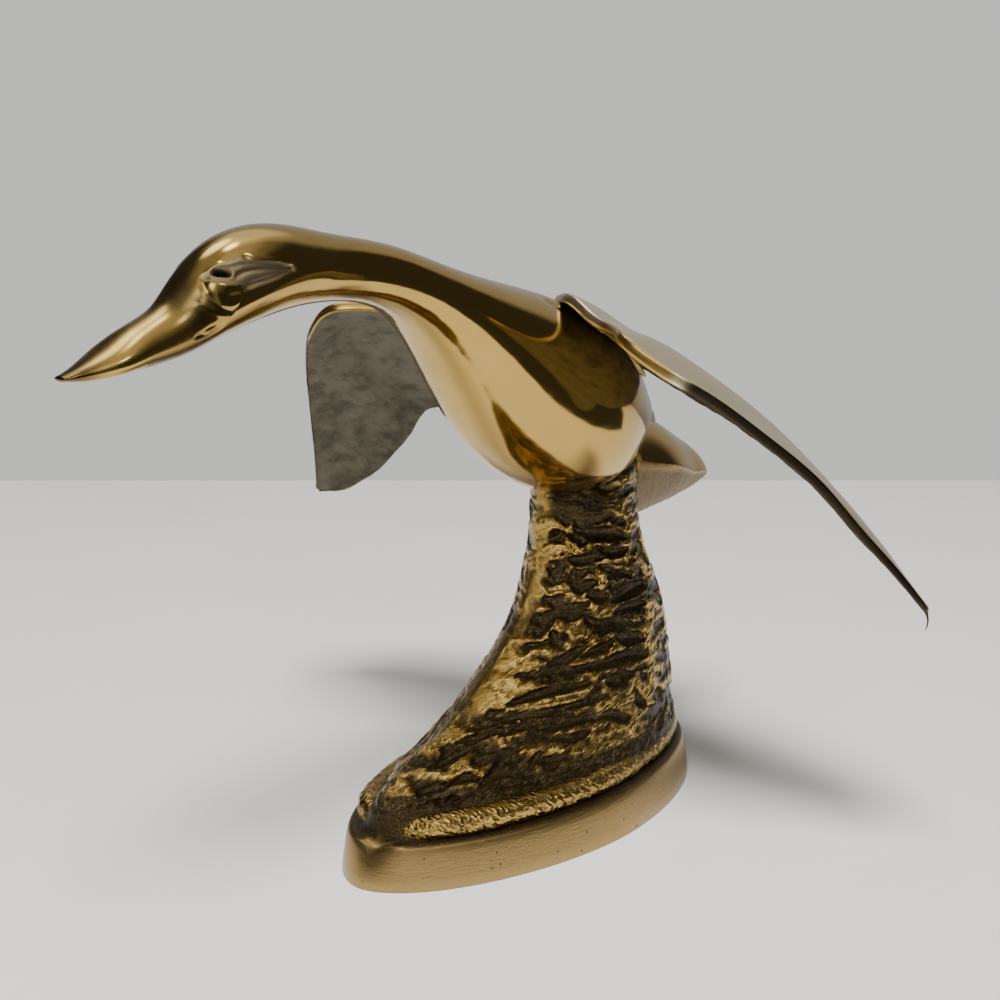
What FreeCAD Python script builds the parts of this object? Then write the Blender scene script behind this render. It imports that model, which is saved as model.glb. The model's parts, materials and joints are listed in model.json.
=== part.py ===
import FreeCAD, Part
import math
import os

# Brass duck with spread wings on a chiselled rock. Millimetres, +Z up.
# The duck faces -X and its left wing is on the -Y side. The origin is on the
# table plane, midway between the bill tip and the tail tip.

doc = FreeCAD.newDocument("brass_duck")
V = FreeCAD.Vector

# Driving dimensions

SIZES = {
    "duck_length": 212.0,        # bill tip to tail tip
    "crown_height": 151.0,       # table to the top of the head
    "belly_height": 79.0,        # table to the lowest point of the belly
    "body_depth": 43.0,          # breast, back to belly across the body
    "body_width": 43.0,          # breast, side to side
    "tail_length": 46.0,         # wedge, with its root inside the rump and the rock
    "tail_depth": 30.0,
    "tail_width": 23.0,
    "tail_tip_height": 74.0,
    "foot_length": 121.5,        # oval foot of the rock
    "foot_width": 58.8,
    "tail_overhang": 17.0,       # tail tip behind the back of the foot
    "foot_height": 10.5,
    "foot_draft": 1.8,           # how much the polished band leans in
    "bead_height": 6.0,
    "bead_inset": 4.2,
    "groove_depth": 1.5,
    "rock_height": 90.0,         # rock before the belly and the tail are let in
    "rock_length": 108.0,        # rock at its root
    "rock_width": 50.0,
    "wall_thickness": 4.5,
    "seat_wall": 14.0,           # metal left between the hollow and the belly
    "half_span": 95.0,           # middle of the duck to a wing tip
    "wing_chord": 60.0,
    "wing_drop": 65.5,           # wing root to wing tip
    "wing_camber": 3.8,
    "wing_thickness": 2.4,
    "wing_sink": 1.6,            # root let into the back before it is trimmed
    "bead_radius": 2.6,          # run of brazing metal
    "stud_setback": 19.75,       # behind the middle of the foot
    "stud_diameter": 6.0,
    "stud_depth": 14.0,          # length of stud held in the belly
    "stud_tail": 2.0,            # length of stud below the nut
    "hole_clearance": 0.3,       # round the stud in the rock
    "washer_diameter": 12.0,
    "washer_thickness": 1.6,
    "nut_width": 10.0,
    "nut_height": 5.0,
}

sheet = doc.addObject("Spreadsheet::Sheet", "sizes")
for row, (alias, value) in enumerate(SIZES.items(), start=1):
    sheet.set(f"A{row}", alias)
    sheet.set(f"B{row}", str(value))
    sheet.setAlias(f"B{row}", alias)
doc.recompute()


def size(alias):
    """Value of a named cell, in millimetres."""
    return float(sheet.get(alias))


def feature(label, shape):
    """Free-form piece of the document, with its own label."""
    obj = doc.addObject("Part::Feature", label)
    obj.Label = label
    obj.Shape = shape
    return obj


def closed_curve(points):
    """Closed smooth wire through the points."""
    curve = Part.BSplineCurve()
    curve.interpolate(Points=points, PeriodicFlag=True)
    return Part.Wire([curve.toShape()])


def open_curve(points):
    """Smooth edge through the points."""
    curve = Part.BSplineCurve()
    curve.interpolate(Points=points)
    return curve.toShape()


# Places along the duck that several pieces share

bill_x = -size("duck_length") / 2
foot_x = size("duck_length") / 2 - size("tail_overhang") - size("foot_length") / 2

# Duck: ovals square to a spine that runs from the bill tip to the rump

# along the duck, height between belly and crown, depth and width of the oval
BODY_SHARES = (
    (0.0000, 0.650, 0.026, 0.075),
    (0.0110, 0.653, 0.051, 0.112),
    (0.0500, 0.676, 0.135, 0.279),
    (0.0780, 0.701, 0.191, 0.288),
    (0.1250, 0.742, 0.260, 0.312),
    (0.1670, 0.813, 0.377, 0.400),
    (0.2060, 0.861, 0.433, 0.456),
    (0.2540, 0.875, 0.405, 0.423),
    (0.3220, 0.858, 0.326, 0.367),
    (0.3860, 0.826, 0.316, 0.433),
    (0.4570, 0.743, 0.372, 0.586),
    (0.5340, 0.607, 0.619, 0.814),
    (0.6110, 0.456, 0.921, 1.000),
    (0.7010, 0.297, 1.000, 0.967),
    (0.7720, 0.237, 0.800, 0.670),
    (0.8190, 0.207, 0.535, 0.381),
    (0.8470, 0.190, 0.367, 0.214),
    (0.8620, 0.180, 0.180, 0.110),
)
OVAL_POINTS = 16

# Rows where a wing root is seated: the widest oval and the two behind it
breast = max(range(len(BODY_SHARES)), key=lambda row: BODY_SHARES[row][3])
loin = breast + 1
rump = breast + 2


def body_axis(row):
    along, rise = BODY_SHARES[row][:2]
    x = bill_x + along * size("duck_length")
    z = size("belly_height") + rise * (size("crown_height") - size("belly_height"))
    return V(x, 0, z)


def body_point(row, angle, side=1):
    """Point of the duck's skin, angle measured from the top of the oval."""
    last = len(BODY_SHARES) - 1
    run = body_axis(min(row + 1, last)) - body_axis(max(row - 1, 0))
    run.normalize()
    up = V(-run.z, 0, run.x)
    half_depth = BODY_SHARES[row][2] * size("body_depth") / 2
    half_width = BODY_SHARES[row][3] * size("body_width") / 2
    reach = up * (half_depth * math.cos(angle))
    spread = V(0, side * half_width * math.sin(angle), 0)
    return body_axis(row) + reach + spread


def body_oval(row):
    turn = 2 * math.pi / OVAL_POINTS
    return closed_curve([body_point(row, turn * i) for i in range(OVAL_POINTS)])


# Tail: a wedge with a ridge on top, a corner along each side and a keel below.
# back from the wedge's root, height of ridge, corner and keel, width at the corners
TAIL_SHARES = (
    (0.000, 0.90, 0.38, -0.20, 0.98),
    (0.130, 0.82, 0.33, -0.20, 0.96),
    (0.457, 0.60, 0.22, -0.17, 0.83),
    (0.717, 0.38, 0.10, -0.12, 0.52),
    (0.913, 0.18, 0.05, -0.06, 0.26),
    (1.000, 0.05, 0.01, -0.02, 0.07),
)
TAIL_BULGE_SHARE = 0.12


def tail_frame(row):
    back, ridge, corner, keel, width = TAIL_SHARES[row]
    depth = size("tail_depth")
    x = size("duck_length") / 2 - size("tail_length") * (1 - back)
    half = width * size("tail_width") / 2
    tip = size("tail_tip_height")
    top = V(x, 0, tip + ridge * depth)
    low = V(x, 0, tip + keel * depth)
    right = V(x, half, tip + corner * depth)
    left = V(x, -half, tip + corner * depth)
    edges = []
    for start, end in ((top, right), (right, low), (low, left), (left, top)):
        middle = (start + end) * 0.5
        outward = V(0, middle.y, middle.z - (tip + corner * depth))
        outward.normalize()
        bow = middle + outward * ((end - start).Length * TAIL_BULGE_SHARE)
        edges.append(Part.Arc(start, bow, end).toShape())
    return Part.Wire(edges)


body_loft = Part.makeLoft([body_oval(i) for i in range(len(BODY_SHARES))], True)
tail_loft = Part.makeLoft([tail_frame(i) for i in range(len(TAIL_SHARES))], True)
duck_stock = feature("duck_stock", body_loft)
tail_stock = feature("tail_stock", tail_loft)
duck_casting = doc.addObject("Part::Fuse", "duck_casting")
duck_casting.Base = duck_stock
duck_casting.Tool = tail_stock

# Wings: cambered plates between a leading and a trailing edge

# Leading edge back, out and down; trailing edge back, out and down; camber; thickness.
# Back is a share of wing_chord, out of half_span and down of wing_drop.
WING_SHARES = (
    (-0.149, 0.232, 0.069, 0.564, 0.253, 0.435, 0.66, 1.00),
    (-0.295, 0.368, 0.087, 0.548, 0.400, 0.511, 0.89, 1.00),
    (-0.433, 0.463, 0.098, 0.498, 0.526, 0.565, 1.00, 1.00),
    (-0.403, 0.540, 0.174, 0.448, 0.611, 0.584, 0.93, 1.00),
    (-0.301, 0.629, 0.269, 0.473, 0.695, 0.691, 0.53, 0.98),
    (-0.161, 0.724, 0.405, 0.489, 0.774, 0.801, 0.42, 0.95),
    (-0.008, 0.814, 0.563, 0.481, 0.842, 0.894, 0.26, 0.90),
    (0.113, 0.882, 0.727, 0.448, 0.905, 0.959, 0.21, 0.82),
    (0.214, 0.942, 0.860, 0.398, 0.953, 0.997, 0.10, 0.70),
    (0.299, 0.994, 0.985, 0.328, 0.999, 1.000, 0.05, 0.55),
)
# along the chord, height of the arch
ARCH_SHARES = ((0.0, 0.0), (0.2, 0.8), (0.45, 1.0), (0.72, 0.68), (1.0, 0.0))
# Root rows: angle from the top of the oval, share of the chord ahead of the breast,
# share of wing_sink
ROOT_SHARES = (
    (math.radians(7), 0.00, 1.00),
    (math.radians(23), 0.14, 0.60),
)
TRAILING_SHARE = 0.6        # of the plate's thickness at the trailing edge
WING_LEAD_SHARE = 0.10      # of the root's chord: a wing is measured from there ahead of it


def wing_root(row, side):
    """Chord that lies on the duck's back, and the arch that the back gives it."""
    angle, nose, sunk = ROOT_SHARES[row]
    front = body_point(breast, angle, side)
    back = body_point(rump, angle, side)
    middle = body_point(loin, angle, side)
    chord = back - front
    share = (middle - front).dot(chord) / chord.dot(chord)
    arch = (middle - (front + chord * share)).Length
    sink = V(0, 0, -sunk * size("wing_sink"))
    return front - chord * nose + sink, back + sink, arch


def wing_edges(side):
    """Leading edge, trailing edge, camber and thickness of each section."""
    rows = []
    for row in range(len(ROOT_SHARES)):
        front, back, arch = wing_root(row, side)
        rows.append((front, back, arch, size("wing_thickness")))
    seat_angle = ROOT_SHARES[0][0]
    seat = body_point(breast, seat_angle, side)
    start = seat + (seat - body_point(rump, seat_angle, side)) * WING_LEAD_SHARE
    for le_b, le_o, le_d, te_b, te_o, te_d, camber, thick in WING_SHARES:
        spots = []
        for back, out, down in ((le_b, le_o, le_d), (te_b, te_o, te_d)):
            x = start.x + back * size("wing_chord")
            y = side * out * size("half_span")
            spots.append(V(x, y, start.z - down * size("wing_drop")))
        camber *= size("wing_camber")
        rows.append((spots[0], spots[1], camber, thick * size("wing_thickness")))
    return rows


def wing_frames(side):
    """Each section's leading edge, chord, upward normal, camber and thickness."""
    rows = wing_edges(side)
    frames = []
    for i, (front, back, camber, thick) in enumerate(rows):
        before = rows[max(i - 1, 0)]
        after = rows[min(i + 1, len(rows) - 1)]
        span = (after[0] + after[1] - before[0] - before[1]) * side
        chord = back - front
        normal = chord.cross(span)
        normal.normalize()
        frames.append((front, chord, normal, camber, thick))
    return frames


def wing_section(frame):
    front, chord, normal, camber, thick = frame
    under = [front + chord * s + normal * (camber * arch) for s, arch in ARCH_SHARES]
    over = []
    for (s, arch), point in zip(ARCH_SHARES, under):
        over.append(point + normal * (thick * (1 - (1 - TRAILING_SHARE) * s)))
    edges = [
        open_curve(under),
        Part.LineSegment(under[-1], over[-1]).toShape(),
        open_curve(over[::-1]),
        Part.LineSegment(over[0], under[0]).toShape(),
    ]
    return Part.Wire(edges)


# Seam where the under side of a plate leaves the back, angle from the top of the oval
SEAM_ANGLES = (math.radians(38), math.radians(42), math.radians(50))


def braze_run(side):
    """Tube of brazing metal along the seam below a wing."""
    rows = (breast, loin, rump)
    path = [body_point(row, angle, side) for row, angle in zip(rows, SEAM_ANGLES)]
    spine = Part.Wire([open_curve(path)])
    ring = Part.makeCircle(size("bead_radius"), path[0], path[1] - path[0])
    return spine.makePipeShell([Part.Wire([ring])], True, True)


doc.recompute()
wings = {}
brazes = {}
for name, side in (("left", -1), ("right", 1)):
    sections = [wing_section(frame) for frame in wing_frames(side)]
    plate = feature(f"{name}_wing_stock", Part.makeLoft(sections, True))
    wings[name] = doc.addObject("Part::Cut", f"{name}_wing")
    wings[name].Label = f"{name}_wing"
    wings[name].Base = plate
    wings[name].Tool = duck_casting
    bead = braze_run(side).cut([duck_casting.Shape, plate.Shape])
    run = max(bead.Solids, key=lambda solid: solid.Volume)
    brazes[name] = feature(f"{name}_wing_braze", run)

# Rock: an oval foot band, a bead above it, and the leaning rock

OVAL_EXPONENT = 1.8         # below 2: the oval is a little pointed at its ends


def foot_oval(inset, z):
    """Level oval of the foot, inset from its outline."""
    half_length = size("foot_length") / 2 - inset
    half_width = size("foot_width") / 2 - inset
    points = []
    for i in range(2 * OVAL_POINTS):
        turn = math.pi * i / OVAL_POINTS
        c = math.cos(turn)
        s = math.sin(turn)
        x = math.copysign(abs(c) ** (2 / OVAL_EXPONENT), c) * half_length
        y = math.copysign(abs(s) ** (2 / OVAL_EXPONENT), s) * half_width
        points.append(V(foot_x + x, y, z))
    return closed_curve(points)


# height, front and back of the rock measured from its root's front, half its width
ROCK_SHARES = (
    (0.000, 0.000, 1.000, 1.00),
    (0.098, 0.025, 1.000, 0.89),
    (0.192, 0.160, 0.997, 0.79),
    (0.309, 0.302, 0.986, 0.71),
    (0.435, 0.423, 0.962, 0.64),
    (0.562, 0.493, 0.915, 0.60),
    (0.693, 0.533, 0.860, 0.55),
    (0.825, 0.538, 0.848, 0.50),
    (1.000, 0.540, 0.856, 0.46),
)
ROCK_WAIST_SHARE = 0.58     # of the length at which a section is widest
ROCK_PROW_POWER = 1.5       # above 1: the front of a section narrows to a prow


def rock_rise(row):
    """Height of a row of the rock above the table."""
    root = size("foot_height")
    return root + ROCK_SHARES[row][0] * (size("rock_height") - root)


def rock_shares(z):
    """Front, back and half-width shares at a height between two rows."""
    row = 0
    while row < len(ROCK_SHARES) - 2 and rock_rise(row + 1) < z:
        row += 1
    low, high = ROCK_SHARES[row], ROCK_SHARES[row + 1]
    t = (z - rock_rise(row)) / (rock_rise(row + 1) - rock_rise(row))
    return [a + t * (b - a) for a, b in zip(low[1:], high[1:])]


def rock_section(z, inset):
    """Level outline of the rock, drawn in by the inset."""
    front, back, half = rock_shares(z)
    start = foot_x - size("rock_length") / 2
    x_front = start + front * size("rock_length") + inset
    x_back = start + back * size("rock_length") - inset
    half_width = half * size("rock_width") / 2 - inset
    waist = x_front + ROCK_WAIST_SHARE * (x_back - x_front)
    points = []
    for i in range(OVAL_POINTS):
        turn = 2 * math.pi * i / OVAL_POINTS
        c = math.cos(turn)
        s = math.sin(turn)
        x = waist + c * ((x_back - waist) if c > 0 else (waist - x_front))
        power = 1 if c > 0 else ROCK_PROW_POWER
        points.append(V(x, math.copysign(abs(s) ** power, s) * half_width, z))
    return closed_curve(points)


# inset and height of the foot, bottom to top: the band, the groove and the bead
# shares of foot_draft, groove_depth and bead_inset; shares of foot_height and bead_height
FOOT_SHARES = (
    (0.0, 0.0, 0.0, 0.00, 0.00),
    (0.6, 0.0, 0.0, 0.78, 0.00),
    (1.0, 0.0, 0.0, 0.93, 0.00),
    (1.0, 1.0, 0.0, 1.00, 0.00),
    (0.0, 1.0, 1.0, 1.00, 0.12),
    (0.0, 0.0, 1.0, 1.00, 0.40),
    (0.0, 0.4, 1.0, 1.00, 0.78),
    (0.0, 2.0, 1.0, 1.00, 1.00),
)


def foot_row(row):
    draft, groove, bead, band, lip = FOOT_SHARES[row]
    inset = draft * size("foot_draft")
    inset += groove * size("groove_depth")
    inset += bead * size("bead_inset")
    return foot_oval(inset, band * size("foot_height") + lip * size("bead_height"))


foot_rows = [foot_row(i) for i in range(len(FOOT_SHARES))]
foot_stock = feature("foot_stock", Part.makeLoft(foot_rows, True, True))
rock_rows = [rock_section(rock_rise(i), 0) for i in range(len(ROCK_SHARES))]
rock_stock = feature("rock_stock", Part.makeLoft(rock_rows, True))

rock_solid = doc.addObject("Part::Fuse", "rock_solid")
rock_solid.Base = foot_stock
rock_solid.Tool = rock_stock

# The belly and the root of the tail are let into the top of the rock
rock_seated = doc.addObject("Part::Cut", "rock_seated")
rock_seated.Base = rock_solid
rock_seated.Tool = duck_stock
rock_notched = doc.addObject("Part::Cut", "rock_notched")
rock_notched.Base = rock_seated
rock_notched.Tool = tail_stock

# Hollow: follows the rock one wall inside it and stays below the seat
hollow_top = size("belly_height") - size("seat_wall")
wall = size("wall_thickness")
hollow_rows = [foot_oval(wall + size("foot_draft"), 0)]
for i in range(len(ROCK_SHARES)):
    if rock_rise(i) < hollow_top:
        hollow_rows.append(rock_section(rock_rise(i), wall))
hollow_rows.append(rock_section(hollow_top, wall))
rock_hollow = feature("rock_hollow", Part.makeLoft(hollow_rows, True, True))

rock_shell = doc.addObject("Part::Cut", "rock_shell")
rock_shell.Base = rock_notched
rock_shell.Tool = rock_hollow

# Stud: screwed up into the belly, with a washer and a nut inside the hollow

STUD_LINE = "sizes.duck_length / 2 - sizes.tail_overhang"
STUD_LINE += " - sizes.foot_length / 2 + sizes.stud_setback"


def rod(label, radius, height, z):
    """Upright cylinder on the stud's line; radius, height and foot are expressions."""
    obj = doc.addObject("Part::Cylinder", label)
    obj.Label = label
    obj.setExpression("Radius", radius)
    obj.setExpression("Height", height)
    obj.setExpression("Placement.Base.x", STUD_LINE)
    obj.setExpression("Placement.Base.z", z)
    return obj


def cut(label, base, tool):
    obj = doc.addObject("Part::Cut", label)
    obj.Label = label
    obj.Base = base
    obj.Tool = tool
    return obj


BELLY = "sizes.belly_height"
CEILING = "sizes.belly_height - sizes.seat_wall"
WASHER_FOOT = CEILING + " - sizes.washer_thickness"
NUT_FOOT = WASHER_FOOT + " - sizes.nut_height"
STUD_FOOT = NUT_FOOT + " - sizes.stud_tail"
STUD_RADIUS = "sizes.stud_diameter / 2"
HOLE_RADIUS = "(sizes.stud_diameter + sizes.hole_clearance) / 2"
STUD_LENGTH = "sizes.stud_depth + sizes.seat_wall + sizes.washer_thickness"
STUD_LENGTH += " + sizes.nut_height + sizes.stud_tail"

mounting_stud = rod("mounting_stud", STUD_RADIUS, STUD_LENGTH, STUD_FOOT)

belly_hole = rod("belly_hole", STUD_RADIUS, STUD_LENGTH, STUD_FOOT)
duck_body = cut("duck_body", duck_casting, belly_hole)

seat_hole = rod("seat_hole", HOLE_RADIUS, STUD_LENGTH, STUD_FOOT)
rock_base = cut("rock_base", rock_shell, seat_hole)

washer_disc = rod("washer_disc", "sizes.washer_diameter / 2", "sizes.washer_thickness", WASHER_FOOT)
washer_hole = rod("washer_hole", HOLE_RADIUS, "sizes.washer_thickness", WASHER_FOOT)
stud_washer = cut("stud_washer", washer_disc, washer_hole)

nut_prism = doc.addObject("Part::Prism", "nut_prism")
nut_prism.Polygon = 6
nut_prism.setExpression("Circumradius", "sizes.nut_width / sqrt(3)")
nut_prism.setExpression("Height", "sizes.nut_height")
nut_prism.setExpression("Placement.Base.x", STUD_LINE)
nut_prism.setExpression("Placement.Base.z", NUT_FOOT)
nut_hole = rod("nut_hole", STUD_RADIUS, "sizes.nut_height", NUT_FOOT)
stud_nut = cut("stud_nut", nut_prism, nut_hole)

doc.recompute()

# The pieces that are handed on

PIECES = (
    rock_base,
    duck_body,
    wings["left"],
    wings["right"],
    brazes["left"],
    brazes["right"],
    mounting_stud,
    stud_washer,
    stud_nut,
)

for obj in doc.Objects:
    if "Invalid" in obj.State or "Error" in obj.State:
        raise RuntimeError(f"{obj.Label} did not build: {obj.State}")

os.makedirs("parts", exist_ok=True)
for obj in PIECES:
    if obj.Shape.isNull() or not obj.Shape.isValid():
        raise RuntimeError(f"{obj.Label} has no sound shape")
    if len(obj.Shape.Solids) != 1:
        raise RuntimeError(f"{obj.Label} is {len(obj.Shape.Solids)} solids, not one")
    obj.Shape.exportStep(f"parts/{obj.Label}.step")
    print(obj.Label, round(obj.Shape.Volume), "mm3")
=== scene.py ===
# %% [markdown]
# # A brass duck flying off a chiselled rock
# The duck is one polished casting with two plates brazed on as wings. It stands on a
# hollow rock that was cast with its oval foot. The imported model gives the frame, so
# every piece below is made in its coordinates: metres, +Z up, the bill towards -X and
# the duck's left wing towards -Y. Lengths are typed in millimetres and scaled once.

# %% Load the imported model
import json
import math

import bpy
import numpy as np
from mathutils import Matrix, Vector

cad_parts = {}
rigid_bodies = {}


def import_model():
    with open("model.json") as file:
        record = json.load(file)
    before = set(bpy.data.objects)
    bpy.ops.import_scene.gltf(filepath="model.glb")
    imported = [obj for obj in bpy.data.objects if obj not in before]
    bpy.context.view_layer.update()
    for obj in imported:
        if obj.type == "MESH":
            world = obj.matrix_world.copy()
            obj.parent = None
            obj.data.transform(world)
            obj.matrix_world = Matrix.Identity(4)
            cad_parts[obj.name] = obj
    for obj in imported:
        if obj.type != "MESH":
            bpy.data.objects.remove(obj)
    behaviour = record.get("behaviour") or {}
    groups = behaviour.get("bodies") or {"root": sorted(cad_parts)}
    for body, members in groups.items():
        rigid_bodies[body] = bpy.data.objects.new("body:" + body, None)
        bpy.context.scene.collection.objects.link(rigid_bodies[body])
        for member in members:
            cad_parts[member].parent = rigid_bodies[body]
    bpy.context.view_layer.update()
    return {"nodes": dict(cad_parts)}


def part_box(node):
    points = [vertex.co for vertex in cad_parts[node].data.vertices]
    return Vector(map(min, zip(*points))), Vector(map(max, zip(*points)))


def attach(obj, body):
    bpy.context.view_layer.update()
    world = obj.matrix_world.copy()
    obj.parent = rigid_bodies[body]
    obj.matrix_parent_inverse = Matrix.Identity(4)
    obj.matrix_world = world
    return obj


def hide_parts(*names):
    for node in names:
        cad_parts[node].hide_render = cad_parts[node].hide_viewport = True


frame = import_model()
MM = 0.001
print("nodes:", sorted(frame["nodes"]))

# %% [markdown]
# ## Smooth lines and skins
# A casting has no straight runs, so its sections are listed at a few stations and a
# natural cubic line is drawn through them. A skin is a stack of closed rings with a
# point at each end. Quads in rings shade evenly, which a mirror polish needs: a mesh
# with long thin triangles would show as ripples in the reflections.


# %% A smooth line through listed values
def through(knots, values, at):
    """Natural cubic line through the values at the knots, read at other places."""
    x = np.asarray(knots, float)
    y = np.asarray(values, float)
    at = np.asarray(at, float)
    h = np.diff(x)
    n = len(x)
    left = np.eye(n)
    right = np.zeros_like(y)
    for i in range(1, n - 1):
        left[i, i - 1 : i + 2] = h[i - 1], 2 * (h[i - 1] + h[i]), h[i]
        right[i] = 6 * ((y[i + 1] - y[i]) / h[i] - (y[i] - y[i - 1]) / h[i - 1])
    bend = np.linalg.solve(left, right)
    k = np.clip(np.searchsorted(x, at) - 1, 0, n - 2)
    a = ((x[k + 1] - at) / h[k])[:, None]
    b = 1 - a
    pull = (a**3 - a) * bend[k] + (b**3 - b) * bend[k + 1]
    return a * y[k] + b * y[k + 1] + pull * (h[k] ** 2 / 6)[:, None]


print("a line through 0, 1, 0 at its middle:", through([0, 1, 2], [[0], [1], [0]], [1.0]))


# %% Even steps, means and distances
def step(low, high, x):
    """0 below low, 1 above high, and an even S between them; low and high may be swapped."""
    t = np.clip((np.asarray(x, float) - low) / (high - low), 0, 1)
    return t * t * (3 - 2 * t)


def soften(rows, reach):
    """Each row becomes a bell-weighted mean of its neighbours; the ends stay."""
    far = 3 * reach
    weights = np.exp(-0.5 * (np.arange(-far, far + 1) / reach) ** 2)
    weights /= weights.sum()
    before = 2 * rows[:1] - rows[far:0:-1]
    after = 2 * rows[-1:] - rows[-2 : -far - 2 : -1]
    padded = np.concatenate([before, rows, after])
    return sum(w * padded[i : i + len(rows)] for i, w in enumerate(weights))


def run_along(points):
    """Distance along a line of points, from its start to each of them."""
    return np.concatenate([[0], np.cumsum(np.linalg.norm(np.diff(points, axis=0), axis=1))])


# %% Closed rings
def all_round(count):
    """Even turns round a ring, in radians."""
    return np.linspace(0, 2 * math.pi, count, endpoint=False)


def ease(ring):
    """Each point of a closed ring becomes a mean of itself and its two neighbours."""
    return (np.roll(ring, 1, 0) + 2 * ring + np.roll(ring, -1, 0)) / 4


def shrunk(ring, shares):
    """The ring drawn in towards its middle, once for each share."""
    return [ring.mean(0) + (ring - ring.mean(0)) * share for share in shares]


def dome(ring, reach, degrees):
    """Rings that close an end in a round nose, which goes out by the vector reach."""
    turns = np.radians(degrees)
    return [small + reach * math.sin(a) for small, a in zip(shrunk(ring, np.cos(turns)), turns)]


def outward(rings):
    """Unit normals of a stack of rings, pointing away from each ring's middle."""
    along = np.gradient(rings, axis=0)
    around = np.roll(rings, -1, axis=1) - np.roll(rings, 1, axis=1)
    n = np.cross(along, around)
    n /= np.maximum(np.linalg.norm(n, axis=2, keepdims=True), 1e-9)
    away = rings - rings.mean(1, keepdims=True)
    turned = np.sign((n * away).sum(2).sum(1))[:, None, None]
    return n * np.where(turned == 0, 1, turned)


def dented(stack, places):
    """Pushes the skin in round some places; a depth below zero swells it."""
    for middle, radius, depth in places:
        flat = stack.reshape(-1, 3)
        away = np.linalg.norm(flat - np.array(middle), axis=1) / radius
        push = depth * np.exp(-(away**2))
        stack = (flat - outward(stack).reshape(-1, 3) * push[:, None]).reshape(stack.shape)
    return stack


# %% A piece of the model from points and faces
def add_piece(name, points, faces=(), edges=(), marks=None):
    """Mesh object from points in millimetres; marks are named numbers on its points."""
    mesh = bpy.data.meshes.new(name)
    mesh.from_pydata([tuple(p) for p in np.asarray(points) * MM], edges, faces)
    mesh.update()
    for mark, values in (marks or {}).items():
        layer = mesh.attributes.new(mark, "FLOAT", "POINT")
        layer.data.foreach_set("value", np.asarray(values, np.float32).ravel())
    mesh.shade_smooth()
    piece = bpy.data.objects.new(name, mesh)
    bpy.context.scene.collection.objects.link(piece)
    print(f"{name}: {len(mesh.vertices)} points, {len(mesh.polygons)} faces")
    return piece


def volume_of(points, faces):
    """Signed volume of a closed skin; negative when its faces point inwards."""
    p = np.asarray(points)
    total = 0.0
    for face in faces:
        a = p[face[0]]
        for j in range(1, len(face) - 1):
            total += np.dot(a, np.cross(p[face[j]], p[face[j + 1]]))
    return total / 6


def skin(name, rings, marks=None):
    """Closed skin over a stack of rings, with a point in the middle of each end."""
    rings = np.asarray(rings, float)
    rows, cols = rings.shape[:2]
    points = np.concatenate([rings.reshape(-1, 3), [rings[0].mean(0), rings[-1].mean(0)]])
    first, last = rows * cols, rows * cols + 1
    faces = []
    for i in range(rows - 1):
        for k in range(cols):
            n = (k + 1) % cols
            faces.append((i * cols + k, i * cols + n, (i + 1) * cols + n, (i + 1) * cols + k))
    end = (rows - 1) * cols
    for k in range(cols):
        n = (k + 1) % cols
        faces.append((first, n, k))
        faces.append((last, end + k, end + n))
    if volume_of(points, faces) < 0:
        faces = [face[::-1] for face in faces]
    whole = {}
    for mark, values in (marks or {}).items():
        v = np.asarray(values, float).reshape(rows, cols)
        whole[mark] = np.concatenate([v.ravel(), [v[0].mean(), v[-1].mean()]])
    return add_piece(name, points, faces, marks=whole)


# %% [markdown]
# ## The duck's body
# Bill, head, neck and breast are one form. Its sections are ovals square to a line
# that runs from the bill tip to the rump. The table gives that line and the half depth
# and half width of each oval. The bill keeps its listed sections, and behind it they
# are softened. Rings lie closer together on the head, where the carving is.

# %% Sections of the body
# along the duck, height, half depth, half width
BODY_OVALS = (
    (-106.0, 125.8, 0.56, 1.6),
    (-103.7, 126.0, 1.1, 2.4),
    (-95.4, 127.7, 2.9, 6.0),
    (-89.4, 129.5, 4.1, 6.2),
    (-79.5, 132.4, 5.6, 6.7),
    (-70.6, 137.5, 8.1, 8.6),
    (-62.3, 141.0, 9.3, 9.8),
    (-52.1, 142.0, 8.7, 9.1),
    (-37.7, 140.8, 7.0, 7.9),
    (-24.2, 138.5, 6.8, 9.3),
    (-9.1, 132.5, 8.0, 12.6),
    (7.3, 122.7, 13.3, 17.5),
    (23.5, 111.8, 19.8, 21.5),
    (42.6, 100.4, 21.5, 20.8),
    (57.7, 96.1, 17.2, 14.4),
    (67.6, 93.9, 11.5, 8.2),
    (73.6, 92.7, 7.9, 4.6),
    (76.7, 92.0, 3.9, 2.4),
)
AROUND = 160
RING_STARTS, RING_GAPS = (0, 62.0, 110.0), (0.42, 0.8, 1.1)      # head, neck, the rest
SOFT_FROM, SOFT_FULL, SOFT_GAP, SOFT_ROWS = 20, 45, 0.5, 5
END_DEGREES, END_SHARE = (25, 45, 62, 76, 86), 0.8


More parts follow.
